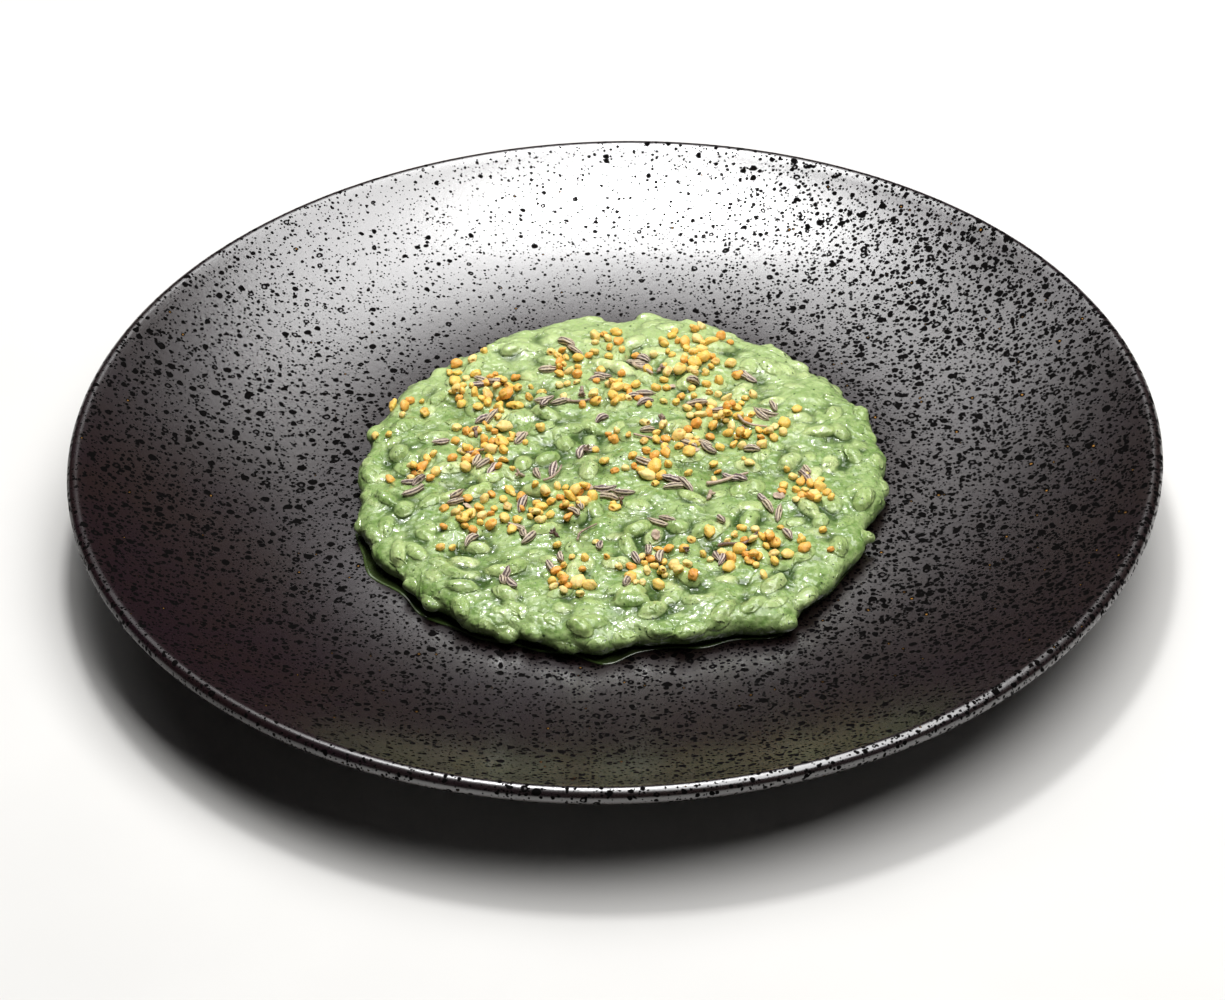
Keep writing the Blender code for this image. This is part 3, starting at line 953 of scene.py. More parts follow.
@dataclass(frozen=True)
class Plate:
    """A coupe plate: a flat well, a wall that curves up to a round lip, and a foot ring."""

    radius: float = 0.140
    height: float = 0.027
    well_depth: float = 0.017
    well_radius: float = 0.069
    base_thickness: float = 0.0060
    lip_thickness: float = 0.0044
    foot_outer: float = 0.084
    foot_inner: float = 0.077
    foot_taper: float = 0.0012
    foot_recess: float = 0.0038
    steps: int = 256
    wall_steps: int = 30
    lip_steps: int = 12
    edge: float = 0.0005

    @property
    def well_top(self) -> float:
        """Height of the well's flat face."""
        return self.height - self.well_depth

    def wall_curve(self) -> tuple[float, float]:
        """Returns the wall's radius of curvature and how far it turns up to run smoothly into the lip."""
        half = self.lip_thickness / 2
        run, turn = 0.0, 0.4
        for _ in range(20):
            run = self.radius - half - half * math.sin(turn) - self.well_radius
            rise = self.well_depth - half + half * math.cos(turn)
            turn = 2 * math.atan2(rise, run)
        return run / math.sin(turn), turn

    def wall_point(self, share: float, depth: float) -> tuple[float, float]:
        """Finds a point of the wall's section.

        Args:
            share: how far along the wall, 0 at the well and 1 at the lip.
            depth: how far below the inner face.

        Returns:
            Its radius and height.
        """
        curve, turn = self.wall_curve()
        reach = curve + depth
        angle = share * turn
        return self.well_radius + reach * math.sin(angle), self.well_top + curve - reach * math.cos(angle)

    def top(self, radius: float) -> float:
        """Returns the height of the plate's upper face at this distance from its middle."""
        if radius <= self.well_radius:
            return self.well_top
        curve, _ = self.wall_curve()
        return self.well_top + curve - math.sqrt(curve * curve - (radius - self.well_radius) ** 2)

    def lip(self) -> list[tuple[float, float]]:
        """Returns the round lip's section, from the inner face over the top to the underside."""
        half = self.lip_thickness / 2
        _, turn = self.wall_curve()
        points = []
        for step in range(self.lip_steps + 1):
            angle = math.pi / 2 + turn - math.pi * step / self.lip_steps
            out = self.radius - half + half * math.cos(angle)
            points.append((out, self.height - half + half * math.sin(angle)))
        return points

    def profile(self) -> list[tuple[float, float]]:
        """Returns half of the plate's section, from the middle of its top to the middle of its base."""
        inner = [self.wall_point(step / self.wall_steps, 0.0) for step in range(self.wall_steps)]
        flat = [(self.well_radius * step / 6, self.well_top) for step in range(6)]
        outer = []
        for step in range(self.wall_steps - 1, 4, -1):
            share = step / self.wall_steps
            depth = self.base_thickness + (self.lip_thickness - self.base_thickness) * share
            outer.append(self.wall_point(share, depth))
        under = self.well_top - self.base_thickness
        out, inside, edge = self.foot_outer, self.foot_inner, self.edge
        foot = [
            (out + self.foot_taper + edge, under),
            (out + self.foot_taper, under - edge * 0.4),
            (out + edge * 0.3, edge),
            (out - edge * 0.3, edge * 0.25),
            (out - edge, 0.0),
            (inside + edge, 0.0),
            (inside + edge * 0.3, edge * 0.25),
            (inside - edge * 0.3, edge),
            (inside - self.foot_taper, self.foot_recess),
        ]
        return [*flat, *inner, *self.lip(), *outer, *foot, (0.0, self.foot_recess)]

    def build(self, material: bpy.types.Material) -> bpy.types.Object:
        """Turns the plate and dresses it.

        Args:
            material: its glaze.

        Returns:
            The plate.
        """
        section = bmesh.new()
        points = [section.verts.new((radius, 0.0, height)) for radius, height in self.profile()]
        for start, end in zip(points, points[1:]):
            section.edges.new((start, end))
        plate = link("stoneware_plate", to_mesh("stoneware_plate", section))
        turn = plate.modifiers.new("turn", "SCREW")
        turn.angle = math.tau
        turn.steps = turn.render_steps = self.steps
        turn.use_merge_vertices = True
        turn.merge_threshold = 0.00002
        turn.use_smooth_shade = True
        settle(plate)
        finish_piece(plate, material, Node.PLATE)
        return plate


# ---- Risotto ----


class Web:
    """How the points of a mesh hang together, for smoothing and for finding hollows."""

    def __init__(self, mesh: bpy.types.Mesh) -> None:
        """Reads the mesh's edges.

        Args:
            mesh: the mesh.
        """
        self.mesh = mesh
        ends = np.empty(len(mesh.edges) * 2, dtype=np.int64)
        mesh.edges.foreach_get("vertices", ends)
        self.first, self.second = ends[0::2], ends[1::2]
        self.size = len(mesh.vertices)
        self.count = np.maximum(np.bincount(ends, minlength=self.size), 1)

    def points(self) -> np.ndarray:
        """Returns the mesh's points, one a row."""
        flat = np.empty(self.size * 3)
        self.mesh.vertices.foreach_get("co", flat)
        return flat.reshape(-1, 3)

    def mean(self, values: np.ndarray) -> np.ndarray:
        """Averages each point's neighbours.

        Args:
            values: a value or a row of values for each point.

        Returns:
            The averages, in the same shape.
        """
        columns = values.reshape(self.size, -1).T
        sums = [
            np.bincount(self.first, column[self.second], self.size)
            + np.bincount(self.second, column[self.first], self.size)
            for column in columns
        ]
        return (np.array(sums) / self.count).T.reshape(values.shape)

    def hollows(self, points: np.ndarray) -> np.ndarray:
        """Measures how far each point lies below the skin around it.

        Args:
            points: the points.

        Returns:
            The hollow at each point, 0 to 1.
        """
        height = points[:, 2].copy()
        shown = np.zeros(self.size)
        for rounds, least, full, most in ((30, 0.00004, 0.00027, 1.0), (110, 0.00015, 0.00085, 0.85)):
            for _ in range(rounds):
                height = self.mean(height)
            depth = height - points[:, 2]
            for _ in range(2):
                depth = (depth + self.mean(depth)) / 2
            shown = np.maximum(shown, np.clip((depth - least) / full, 0, most))
        return shown


def spiral_spot(index: int, count: int, field: float, turn: float = 0.0) -> tuple[float, float]:
    """Returns (x, y) of one of the spots that cover a round field evenly."""
    out, angle = field * math.sqrt((index + 0.5) / count), turn + index * GOLDEN_ANGLE
    return out * math.cos(angle), out * math.sin(angle)


@dataclass(frozen=True)
class Mound:
    """The low round mound of rice and sauce, bare of its toppings."""

    x: float = 0.0016
    y: float = -0.0008
    radius: float = 0.0680
    base: float = 0.0103
    crown: float = 0.0084
    edge: float = 0.0070
    shoulder: float = 0.93
    swell: float = 0.0008
    swell_length: float = 0.021
    mound: float = 0.0011
    mound_length: float = 0.0085
    top_share: float = 0.64
    side_share: float = 0.82
    ripple: float = 0.0007
    ripple_count: int = 23
    lobes: tuple[tuple[float, float, float], ...] = (
        (20, 12, 0.2), (38, 9, -0.8), (52, 7, 0.2), (76, 12, 2.6), (101, 9, 2.8), (114, 8, 0.8),
        (126, 7, -1.2), (146, 11, 0.8), (162, 9, -0.8), (183, 12, -0.6), (200, 9, 1.8), (222, 9, 0.8),
        (236, 8, 2.0), (256, 9, 0.0), (263, 5, 2.6), (271, 4, -2.6), (283, 6, -0.8), (303, 9, 4.6),
        (325, 10, 1.4), (340, 8, -1.6),
    )
    hollow_count: int = 8
    hollow_field: float = 0.058
    hollow_width: float = 0.0035
    hollow_depth: float = 0.0016
    hollow_turn: float = 2.0

    def outline(self, angle: float) -> float:
        """Returns the mound's radius in a direction."""
        radius = self.radius + self.ripple * math.sin(self.ripple_count * angle)
        for heading, width, reach in self.lobes:
            apart = math.degrees(math.remainder(angle - math.radians(heading), math.tau))
            radius += reach * MM * math.exp(-((apart / width) ** 2))
        return radius

    def on_plate(self, radius: float, angle: float, height: float) -> Vector:
        """Returns the point at this distance and heading from the mound's middle."""
        return Vector((self.x + radius * math.cos(angle), self.y + radius * math.sin(angle), height))

    def top(self, x: float, y: float) -> float:
        """Returns the height of the bare mound's top at a point of the plate."""
        dx, dy = x - self.x, y - self.y
        share = min(1.0, math.hypot(dx, dy) / self.outline(math.atan2(dy, dx)))
        dome = self.edge + (self.crown - self.edge) * (1 - share * share)
        swell = self.swell * noise.noise(Vector((x, y, 0.0)) / self.swell_length)
        swell += self.mound * noise.noise(Vector((x, y, 0.031)) / self.mound_length)
        for index in range(self.hollow_count):
            hollow_x, hollow_y = spiral_spot(index, self.hollow_count, self.hollow_field, self.hollow_turn)
            away = math.hypot(x - hollow_x, y - hollow_y) / self.hollow_width
            swell -= self.hollow_depth * math.exp(-away * away)
        return self.base + dome + swell

    def skin(self, direction: Vector) -> Vector:
        """Finds where a point of a unit sphere goes on the mound.

        Args:
            direction: the point of the sphere.

        Returns:
            The point of the mound: on its top, round its side or under it.
        """
        angle = math.atan2(direction.y, direction.x)
        share = (1 - direction.z) / 2
        shoulder = self.shoulder * self.outline(angle)
        if share < self.top_share:
            point = self.on_plate(shoulder * math.sqrt(share / self.top_share), angle, 0.0)
            point.z = self.top(point.x, point.y)
            return point
        if share > self.side_share:
            return self.on_plate(shoulder * math.sqrt((1 - share) / (1 - self.side_share)), angle, self.base)
        turn = math.pi * (0.5 - (share - self.top_share) / (self.side_share - self.top_share))
        rim = self.on_plate(shoulder, angle, 0.0)
        half = (self.top(rim.x, rim.y) - self.base) / 2
        radius = shoulder + (self.outline(angle) - shoulder) * math.cos(turn)
        return self.on_plate(radius, angle, self.base + half + half * math.sin(turn))

    def core(self) -> bmesh.types.BMesh:
        """Returns the bare mound as a closed body."""
        body = bmesh.new()
        bmesh.ops.create_icosphere(body, subdivisions=7, radius=1.0)
        for vert in body.verts:
            vert.co = self.skin(vert.co.copy())
        return body


@dataclass
class Grain:
    """One swollen grain of rice: its middle, half sizes, heading, tilt, paleness and bareness of sauce."""

    middle: Vector
    half: Vector
    heading: float
    tilt: float
    tone: float
    bare: float

    def frame(self) -> Matrix:
        """Returns the grain's place and turn."""
        turn = Matrix.Rotation(self.heading, 4, "Z") @ Matrix.Rotation(-self.tilt, 4, "Y")
        return Matrix.Translation(self.middle) @ turn


@dataclass(frozen=True)
class Rice:
    """The rice of the mound: grains sunk in its top and grains hanging over its edge."""

    mound: Mound
    length: float = 0.0074
    width: float = 0.0043
    depth: float = 0.0037
    count: int = 340
    edge_count: int = 56
    sink: float = 0.0014
    sink_spread: float = 0.0009
    least_sink: float = 0.0002
    tilt: float = 0.12
    blanks: int = 6
    rings: int = 14
    around: int = 18

    def grain(self, middle: Vector, rng: random.Random, tilt: float) -> Grain:
        """Draws one grain.

        Args:
            middle: where it lies.
            rng: the source of its size and heading.
            tilt: how steeply it lies.

        Returns:
            The grain.
        """
        stretch, fat = rng.uniform(0.80, 1.16), rng.uniform(0.86, 1.12)
        half = Vector((self.length / 2 * stretch, self.width / 2 * fat, self.depth / 2 * fat))
        heading = rng.uniform(0, math.pi)
        tone = (math.sin(middle.x * 4127.0 + middle.y * 9311.0) + 1) / 2
        bare = 0.18 + 0.36 * (math.sin(middle.x * 7351.0 - middle.y * 5227.0) + 1)
        return Grain(middle, half, heading, tilt, tone, bare)

    def bed(self) -> list[Grain]:
        """Returns the grains spread evenly over the top, most of them nearly sunk in the sauce."""
        rng = random.Random(11)
        grains = []
        for index in range(self.count):
            angle = index * GOLDEN_ANGLE + rng.uniform(-0.05, 0.05)
            share = math.sqrt((index + 0.5) / self.count) * 0.95
            radius = share * self.mound.outline(angle) + rng.uniform(-0.0014, 0.0014)
            middle = self.mound.on_plate(radius, angle, 0.0)
            sink = max(self.least_sink, self.sink + rng.gauss(0, self.sink_spread))
            middle.z = self.mound.top(middle.x, middle.y) - sink
            grain = self.grain(middle, rng, rng.gauss(0, self.tilt))
            if share > 0.80:
                grain.heading = angle + math.pi / 2 + (grain.heading - math.pi / 2) * 0.4
                grain.bare *= 0.6
            grains.append(grain)
        return grains

    def edge(self) -> list[Grain]:
        """Returns the grains round the side, which stand out of it and hang over the plate."""
        rng = random.Random(23)
        grains = []
        for index in range(self.edge_count):
            angle = math.tau * (index + rng.uniform(-0.3, 0.3)) / self.edge_count
            radius = self.mound.outline(angle) - rng.uniform(0.0004, 0.0034)
            height = self.mound.base + rng.uniform(0.0026, self.mound.edge - 0.0014)
            grain = self.grain(self.mound.on_plate(radius, angle, height), rng, 0.0)
            grain.heading = angle + math.pi / 2 + rng.gauss(0, 0.4)
            grain.bare *= 0.35
            grains.append(grain)
        return grains

    def blank(self, index: int) -> bpy.types.Mesh:
        """Shapes one blank: a plump body with blunt ends, a little bent and fuller at one end.

        Args:
            index: which of the blanks.

        Returns:
            Its mesh, one unit in each half size.
        """
        rng = random.Random(100 + index)
        bend, taper, blunt = rng.uniform(-0.22, 0.22), rng.uniform(-0.12, 0.12), rng.uniform(0.62, 0.80)
        rings = []
        for step in range(1, self.rings):
            angle = math.pi * step / self.rings
            x = -math.copysign(abs(math.cos(angle)) ** 0.85, math.cos(angle))
            reach = math.sin(angle) ** blunt * (1 + taper * x)
            ring = []
            for turn in range(self.around):
                spin = math.tau * turn / self.around
                y = reach * math.cos(spin) + bend * (x * x - 0.4)
                ring.append(Vector((x, y, reach * math.sin(spin))))
            rings.append(ring)
        tips = (Vector((-1.0, bend * 0.6, 0.0)), Vector((1.0, bend * 0.6, 0.0)))
        return to_mesh(f"rice_blank_{index}", loft(rings, tips))


@dataclass(frozen=True)
class Risotto:
    """The mound of rice and sauce, cast as one creamy skin over its grains."""

    mound: Mound
    rice: Rice
    voxel: float = 0.00053
    smoothing: int = 2
    coating: int = 3
    fold: float = 0.00040
    fold_length: float = 0.0052
    lump: float = 0.00034
    lump_length: float = 0.0020
    skirt: float = 0.0004

    def cast(
        self, scatter: Scatter, material: bpy.types.Material, grains: Sequence[Grain]
    ) -> bpy.types.Object:
        """Casts the core and its grains into one skin.

        Args:
            scatter: the tool that copies the grains.
            material: the risotto's finish.
            grains: the grains.

        Returns:
            The skin, with a flat underside.
        """
        blanks = [self.rice.blank(index) for index in range(self.rice.blanks)]
        places = []
        for index, grain in enumerate(grains):
            floor = self.mound.base + 0.0002 + grain.half.z
            grain.middle.z = max(grain.middle.z, floor)
            places.append(Place(grain.frame(), grain.half, index % self.rice.blanks, grain.tone))
        piece = scatter.make("herb_risotto", blanks, places, material)
        body = self.mound.core()
        body.from_mesh(piece.data)
        piece.data = to_mesh("herb_risotto", body)
        remesh = piece.modifiers.new("cast", "REMESH")
        remesh.mode = "VOXEL"
        remesh.voxel_size = self.voxel
        smooth = piece.modifiers.new("cream", "SMOOTH")
        smooth.factor = 0.5
        smooth.iterations = self.smoothing
        settle(piece)
        return piece

    def crease(self, piece: bpy.types.Object) -> None:
        """Gives the skin the soft folds and lumps of thick sauce, and closes its underside flat.

        Args:
            piece: the skin.
        """
        body = bmesh.new()
        body.from_mesh(piece.data)
        body.normal_update()
        low = self.mound.base + self.skirt
        aside = Vector((7.0, 3.0, 1.0))
        for vert in body.verts:
            if vert.co.z < low and vert.normal.z < -0.5:
                vert.co.z = self.mound.base - 0.0002
                continue
            fold = noise.noise(vert.co / self.fold_length) * self.fold
            lump = (abs(noise.noise(vert.co / self.lump_length + aside)) - 0.22) * self.lump
            vert.co += vert.normal * (fold + lump)
            vert.co.z = max(vert.co.z, self.mound.base - 0.0002)
        flat = [face for face in body.faces if all(vert.co.z < self.mound.base for vert in face.verts)]
        bmesh.ops.delete(body, geom=flat, context="FACES")
        loose = [vert for vert in body.verts if not vert.link_faces]
        bmesh.ops.delete(body, geom=loose, context="VERTS")
        rim = [edge for edge in body.edges if edge.is_boundary]
        bmesh.ops.holes_fill(body, edges=rim, sides=0)
        body.to_mesh(piece.data)
        body.free()

    def coat(self, piece: bpy.types.Object) -> None:
        """Lets sauce run into the creases between grains, which leaves the grains' tops as they are.

        Args:
            piece: the skin.
        """
        mesh = piece.data
        web = Web(mesh)
        points = web.points()
        for _ in range(self.coating):
            normals = np.empty(len(points) * 3)
            mesh.vertex_normals.foreach_get("vector", normals)
            step = web.mean(points) - points
            outward = (step * normals.reshape(-1, 3)).sum(axis=1)
            points += step * np.where(outward > 0, 0.8, 0.06)[:, None]
            mesh.vertices.foreach_set("co", points.ravel())
            mesh.update()

    def tint(self, piece: bpy.types.Object, grains: Sequence[Grain]) -> None:
        """Stores on the skin where a grain shows, how pale and how bare it is, and how far each point sits
        in a hollow, which the finish paints as shade.

        Args:
            piece: the skin.
            grains: its grains.
        """
        mesh = piece.data
        web = Web(mesh)
        points = web.points()
        count = len(points)
        nearest = np.full(count, 9.0)
        tone, bare = np.zeros(count), np.zeros(count)
        for grain in grains:
            middle = np.array(grain.middle)
            reach = grain.half.x * 1.6
            picked = np.nonzero(np.abs(points - middle).max(axis=1) < reach)[0]
            turn = np.array(grain.frame().to_3x3())
            local = (points[picked] - middle) @ turn / np.array(grain.half)
            away = np.sqrt((local**2).sum(axis=1))
            closer = away < nearest[picked]
            nearest[picked[closer]] = away[closer]
            tone[picked[closer]] = grain.tone
            bare[picked[closer]] = grain.bare
        share = np.clip((1.32 - nearest) / 0.24, 0, 1)
        rice = share * share * (3 - 2 * share)
        hollow = web.hollows(points)
        for label, values in (("rice", rice), ("tone", tone), ("bare", bare), ("hollow", hollow)):
            layer = mesh.attributes.get(label) or mesh.attributes.new(label, "FLOAT", "POINT")
            layer.data.foreach_set("value", values.astype(np.float32))

    def build(self, scatter: Scatter, material: bpy.types.Material) -> bpy.types.Object:
        """Makes the risotto.

        Args:
            scatter: the tool that copies the grains.
            material: its finish.

        Returns:
            The risotto.
        """
        grains = self.rice.bed() + self.rice.edge()
        piece = self.cast(scatter, material, grains)
        self.coat(piece)
        self.crease(piece)
        self.tint(piece, grains)
        finish_piece(piece, material, Node.RISOTTO)
        return piece


class Ground:
    """The risotto's finished skin, which toppings are laid on."""

    def __init__(self, piece: bpy.types.Object) -> None:
        """Reads the skin.

        Args:
            piece: the risotto.
        """
        body = bmesh.new()
        body.from_mesh(piece.data)
        self.tree = BVHTree.FromBMesh(body)
        body.free()

    def touch(self, x: float, y: float) -> Vector:
        """Returns the skin's point above a point of the plate."""
        point = self.tree.ray_cast(Vector((x, y, 0.1)), Vector((0, 0, -1)))[0]
        return point if point is not None else Vector((x, y, 0.0105))

    def slope(self, x: float, y: float, reach: float) -> Vector:
        """Finds the skin's upward direction.

        Args:
            x: the point of the plate.
            y: the point of the plate.
            reach: how wide a patch of skin counts.

        Returns:
            The direction, of length 1.
        """
        dx = self.touch(x + reach, y).z - self.touch(x - reach, y).z
        dy = self.touch(x, y + reach).z - self.touch(x, y - reach).z
        return Vector((-dx / (2 * reach), -dy / (2 * reach), 1.0)).normalized()

    def frame(self, x: float, y: float, heading: float, reach: float, lift: float) -> Matrix:
        """Lays a frame on the skin.

        Args:
            x: the point of the plate.
            y: the point of the plate.
            heading: the direction of its X axis on the plate.
            reach: how wide a patch of skin it rests on.
            lift: how far its middle stands off the skin.

        Returns:
            The frame.
        """
        up = self.slope(x, y, reach)
        along = Vector((math.cos(heading), math.sin(heading), 0.0))
        along = (along - up * along.dot(up)).normalized()
        across = up.cross(along)
        frame = Matrix((along, across, up)).transposed().to_4x4()
        frame.translation = self.touch(x, y) + up * lift
        return frame


# ---- Toppings ----


def clear_of(x: float, y: float, taken: Iterable[Sequence[float]], gap: float) -> bool:
    """Tells if a spot is at least a gap away from all those taken.

    Args:
        x: the spot.
        y: the spot.
        taken: the spots taken, each starting with its x and y.
        gap: the least distance.

    Returns:
        True if it is clear.
    """
    return all(math.hypot(x - other[0], y - other[1]) >= gap for other in taken)


@dataclass(frozen=True)
class Pollen:
    """Bee pollen: drifts of small lumpy granules."""

    size: float = 0.0026
    blanks: int = 12
    piled: float = 0.16
    # Each drift: its heading in degrees, how far out it lies in millimetres, its count and its spread.
    drifts: tuple[tuple[float, float, int, float], ...] = (
        (65, 50, 24, 6), (40, 35, 20, 7), (15, 40, 7, 4), (345, 50, 8, 4), (30, 15, 12, 5),
        (315, 50, 18, 7), (285, 45, 14, 6), (255, 50, 9, 5), (210, 40, 18, 6), (225, 25, 10, 5),
        (165, 35, 18, 5), (135, 45, 26, 6), (105, 45, 8, 5), (90, 55, 6, 5), (90, 30, 10, 5),
        (155, 60, 4, 4), (180, 50, 6, 4), (345, 10, 8, 5), (240, 15, 5, 4),
    )

    def spots(self) -> list[tuple[float, float, float]]:
        """Returns (x, y, size) of each granule, drift by drift, no two closer than they touch."""
        rng = random.Random(5)
        places = []
        for way, out, count, spread in self.drifts:
            middle_x, middle_y = out * math.cos(math.radians(way)), out * math.sin(math.radians(way))
            for _ in range(count):
                size = self.size * rng.uniform(0.72, 1.28)
                x = y = 0.0
                for widen in range(40):
                    reach = spread * MM * (0.45 + widen * 0.03)
                    x = middle_x * MM + rng.gauss(0, reach)
                    y = middle_y * MM + rng.gauss(0, reach)
                    if clear_of(x, y, places, 0.94 * size):
                        break
                places.append((x, y, size))
        return places

    @staticmethod
    def way(rng: random.Random) -> Vector:
        """Draws a direction."""
        return Vector((rng.gauss(0, 1), rng.gauss(0, 1), rng.gauss(0, 1))).normalized()

    def blank(self, index: int) -> bpy.types.Mesh:
        """Shapes one granule: a pebble with flats, a clump of lumps, or one with a cup in its side.

        Args:
            index: which of the blanks.

        Returns:
            Its mesh, about one unit in radius.
        """
        rng = random.Random(200 + index)
        kind = index % 3
        flats = [(self.way(rng), rng.uniform(0.66, 0.88)) for _ in range(7)]
        lobes = [(self.way(rng), rng.uniform(0.30, 0.52), rng.uniform(0.52, 0.70)) for _ in range(4)]
        cup, depth = self.way(rng), rng.uniform(0.45, 0.75)
        shift = Vector((index * 3.1, index * 1.7, 0.0))
        squash = Vector((rng.uniform(1.0, 1.45), rng.uniform(0.86, 1.05), rng.uniform(0.60, 0.86)))
        body = bmesh.new()
        bmesh.ops.create_icosphere(body, subdivisions=3, radius=1.0)
        layer = body.verts.layers.float.new("dent")
        for vert in body.verts:
            way = vert.co.normalized()
            reach, sunk = 1.0, 0.0
            if kind == 1:
                reach = 0.62
                for middle, out, radius in lobes:
                    along = way.dot(middle) * out
                    inside = radius * radius - out * out + along * along
                    if inside > 0:
                        reach = max(reach, along + math.sqrt(inside))
                sunk = max(0.0, 0.80 - reach)
            for side, level in flats:
                facing = way.dot(side)
                if facing * reach > level:
                    reach = reach * 0.25 + 0.75 * level / facing
            if kind == 2:
                near = max(0.0, 1 - (way - cup).length / 0.80)
                sunk = depth * near * near * (3 - 2 * near)
                reach -= sunk
            reach += 0.15 * noise.noise(way * 1.8 + shift) + 0.09 * noise.noise(way * 4.0 + shift)
            vert.co = way * reach * squash
            # how far the point is sunk, which the finish paints as brown shade
            vert[layer] = min(1.0, sunk * 2.4)
        return to_mesh(f"pollen_blank_{index}", body)

    def build(self, scatter: Scatter, ground: Ground, material: bpy.types.Material) -> bpy.types.Object:
        """Lays the pollen, with a few granules on top of the thicker drifts.

        Args:
            scatter: the tool that copies the granules.
            ground: the risotto's skin.
            material: its finish.

        Returns:
            The pollen.
        """
        rng = random.Random(41)
        lying = self.spots()
        spots = [(x, y, size, 0.24 * size) for x, y, size in lying]
        for way, out, count, spread in self.drifts:
            middle_x, middle_y = out * math.cos(math.radians(way)), out * math.sin(math.radians(way))
            heading, wide, narrow = rng.uniform(0, math.pi), spread * MM * 1.55, spread * MM * 0.75
            for _ in range(count * 3 // 2):
                size = self.size * rng.uniform(0.66, 1.10)
                along, across = rng.gauss(0, wide), rng.gauss(0, narrow)
                x = middle_x * MM + along * math.cos(heading) - across * math.sin(heading)
                y = middle_y * MM + along * math.sin(heading) + across * math.cos(heading)
                if clear_of(x, y, lying, 0.90 * size):
                    lying.append((x, y, size))
                    spots.append((x, y, size, 0.24 * size))
        for x, y, size in self.spots():
            for other_x, other_y, _ in self.spots():
                apart = math.hypot(other_x - x, other_y - y)
                if 0 < apart < 1.15 * self.size and rng.random() < self.piled:
                    grown = self.size * rng.uniform(0.70, 1.0)
                    lift = 0.24 * grown + 0.56 * self.size
                    spots.append(((x + other_x) / 2, (y + other_y) / 2, grown, lift))
        places = []
        for index, (x, y, size, lift) in enumerate(spots):
            frame = ground.frame(x, y, rng.uniform(0, math.tau), size * 0.5, lift)
            frame = frame @ Euler((rng.gauss(0, 0.4), rng.gauss(0, 0.4), 0.0)).to_matrix().to_4x4()
            half = size / 2 * rng.uniform(0.94, 1.12)
            places.append(Place(frame, Vector((half, half, half)), rng.randrange(self.blanks), rng.random()))
        blanks = [self.blank(index) for index in range(self.blanks)]
        piece = scatter.make("bee_pollen", blanks, places, material)
        finish_piece(piece, material)
        return piece


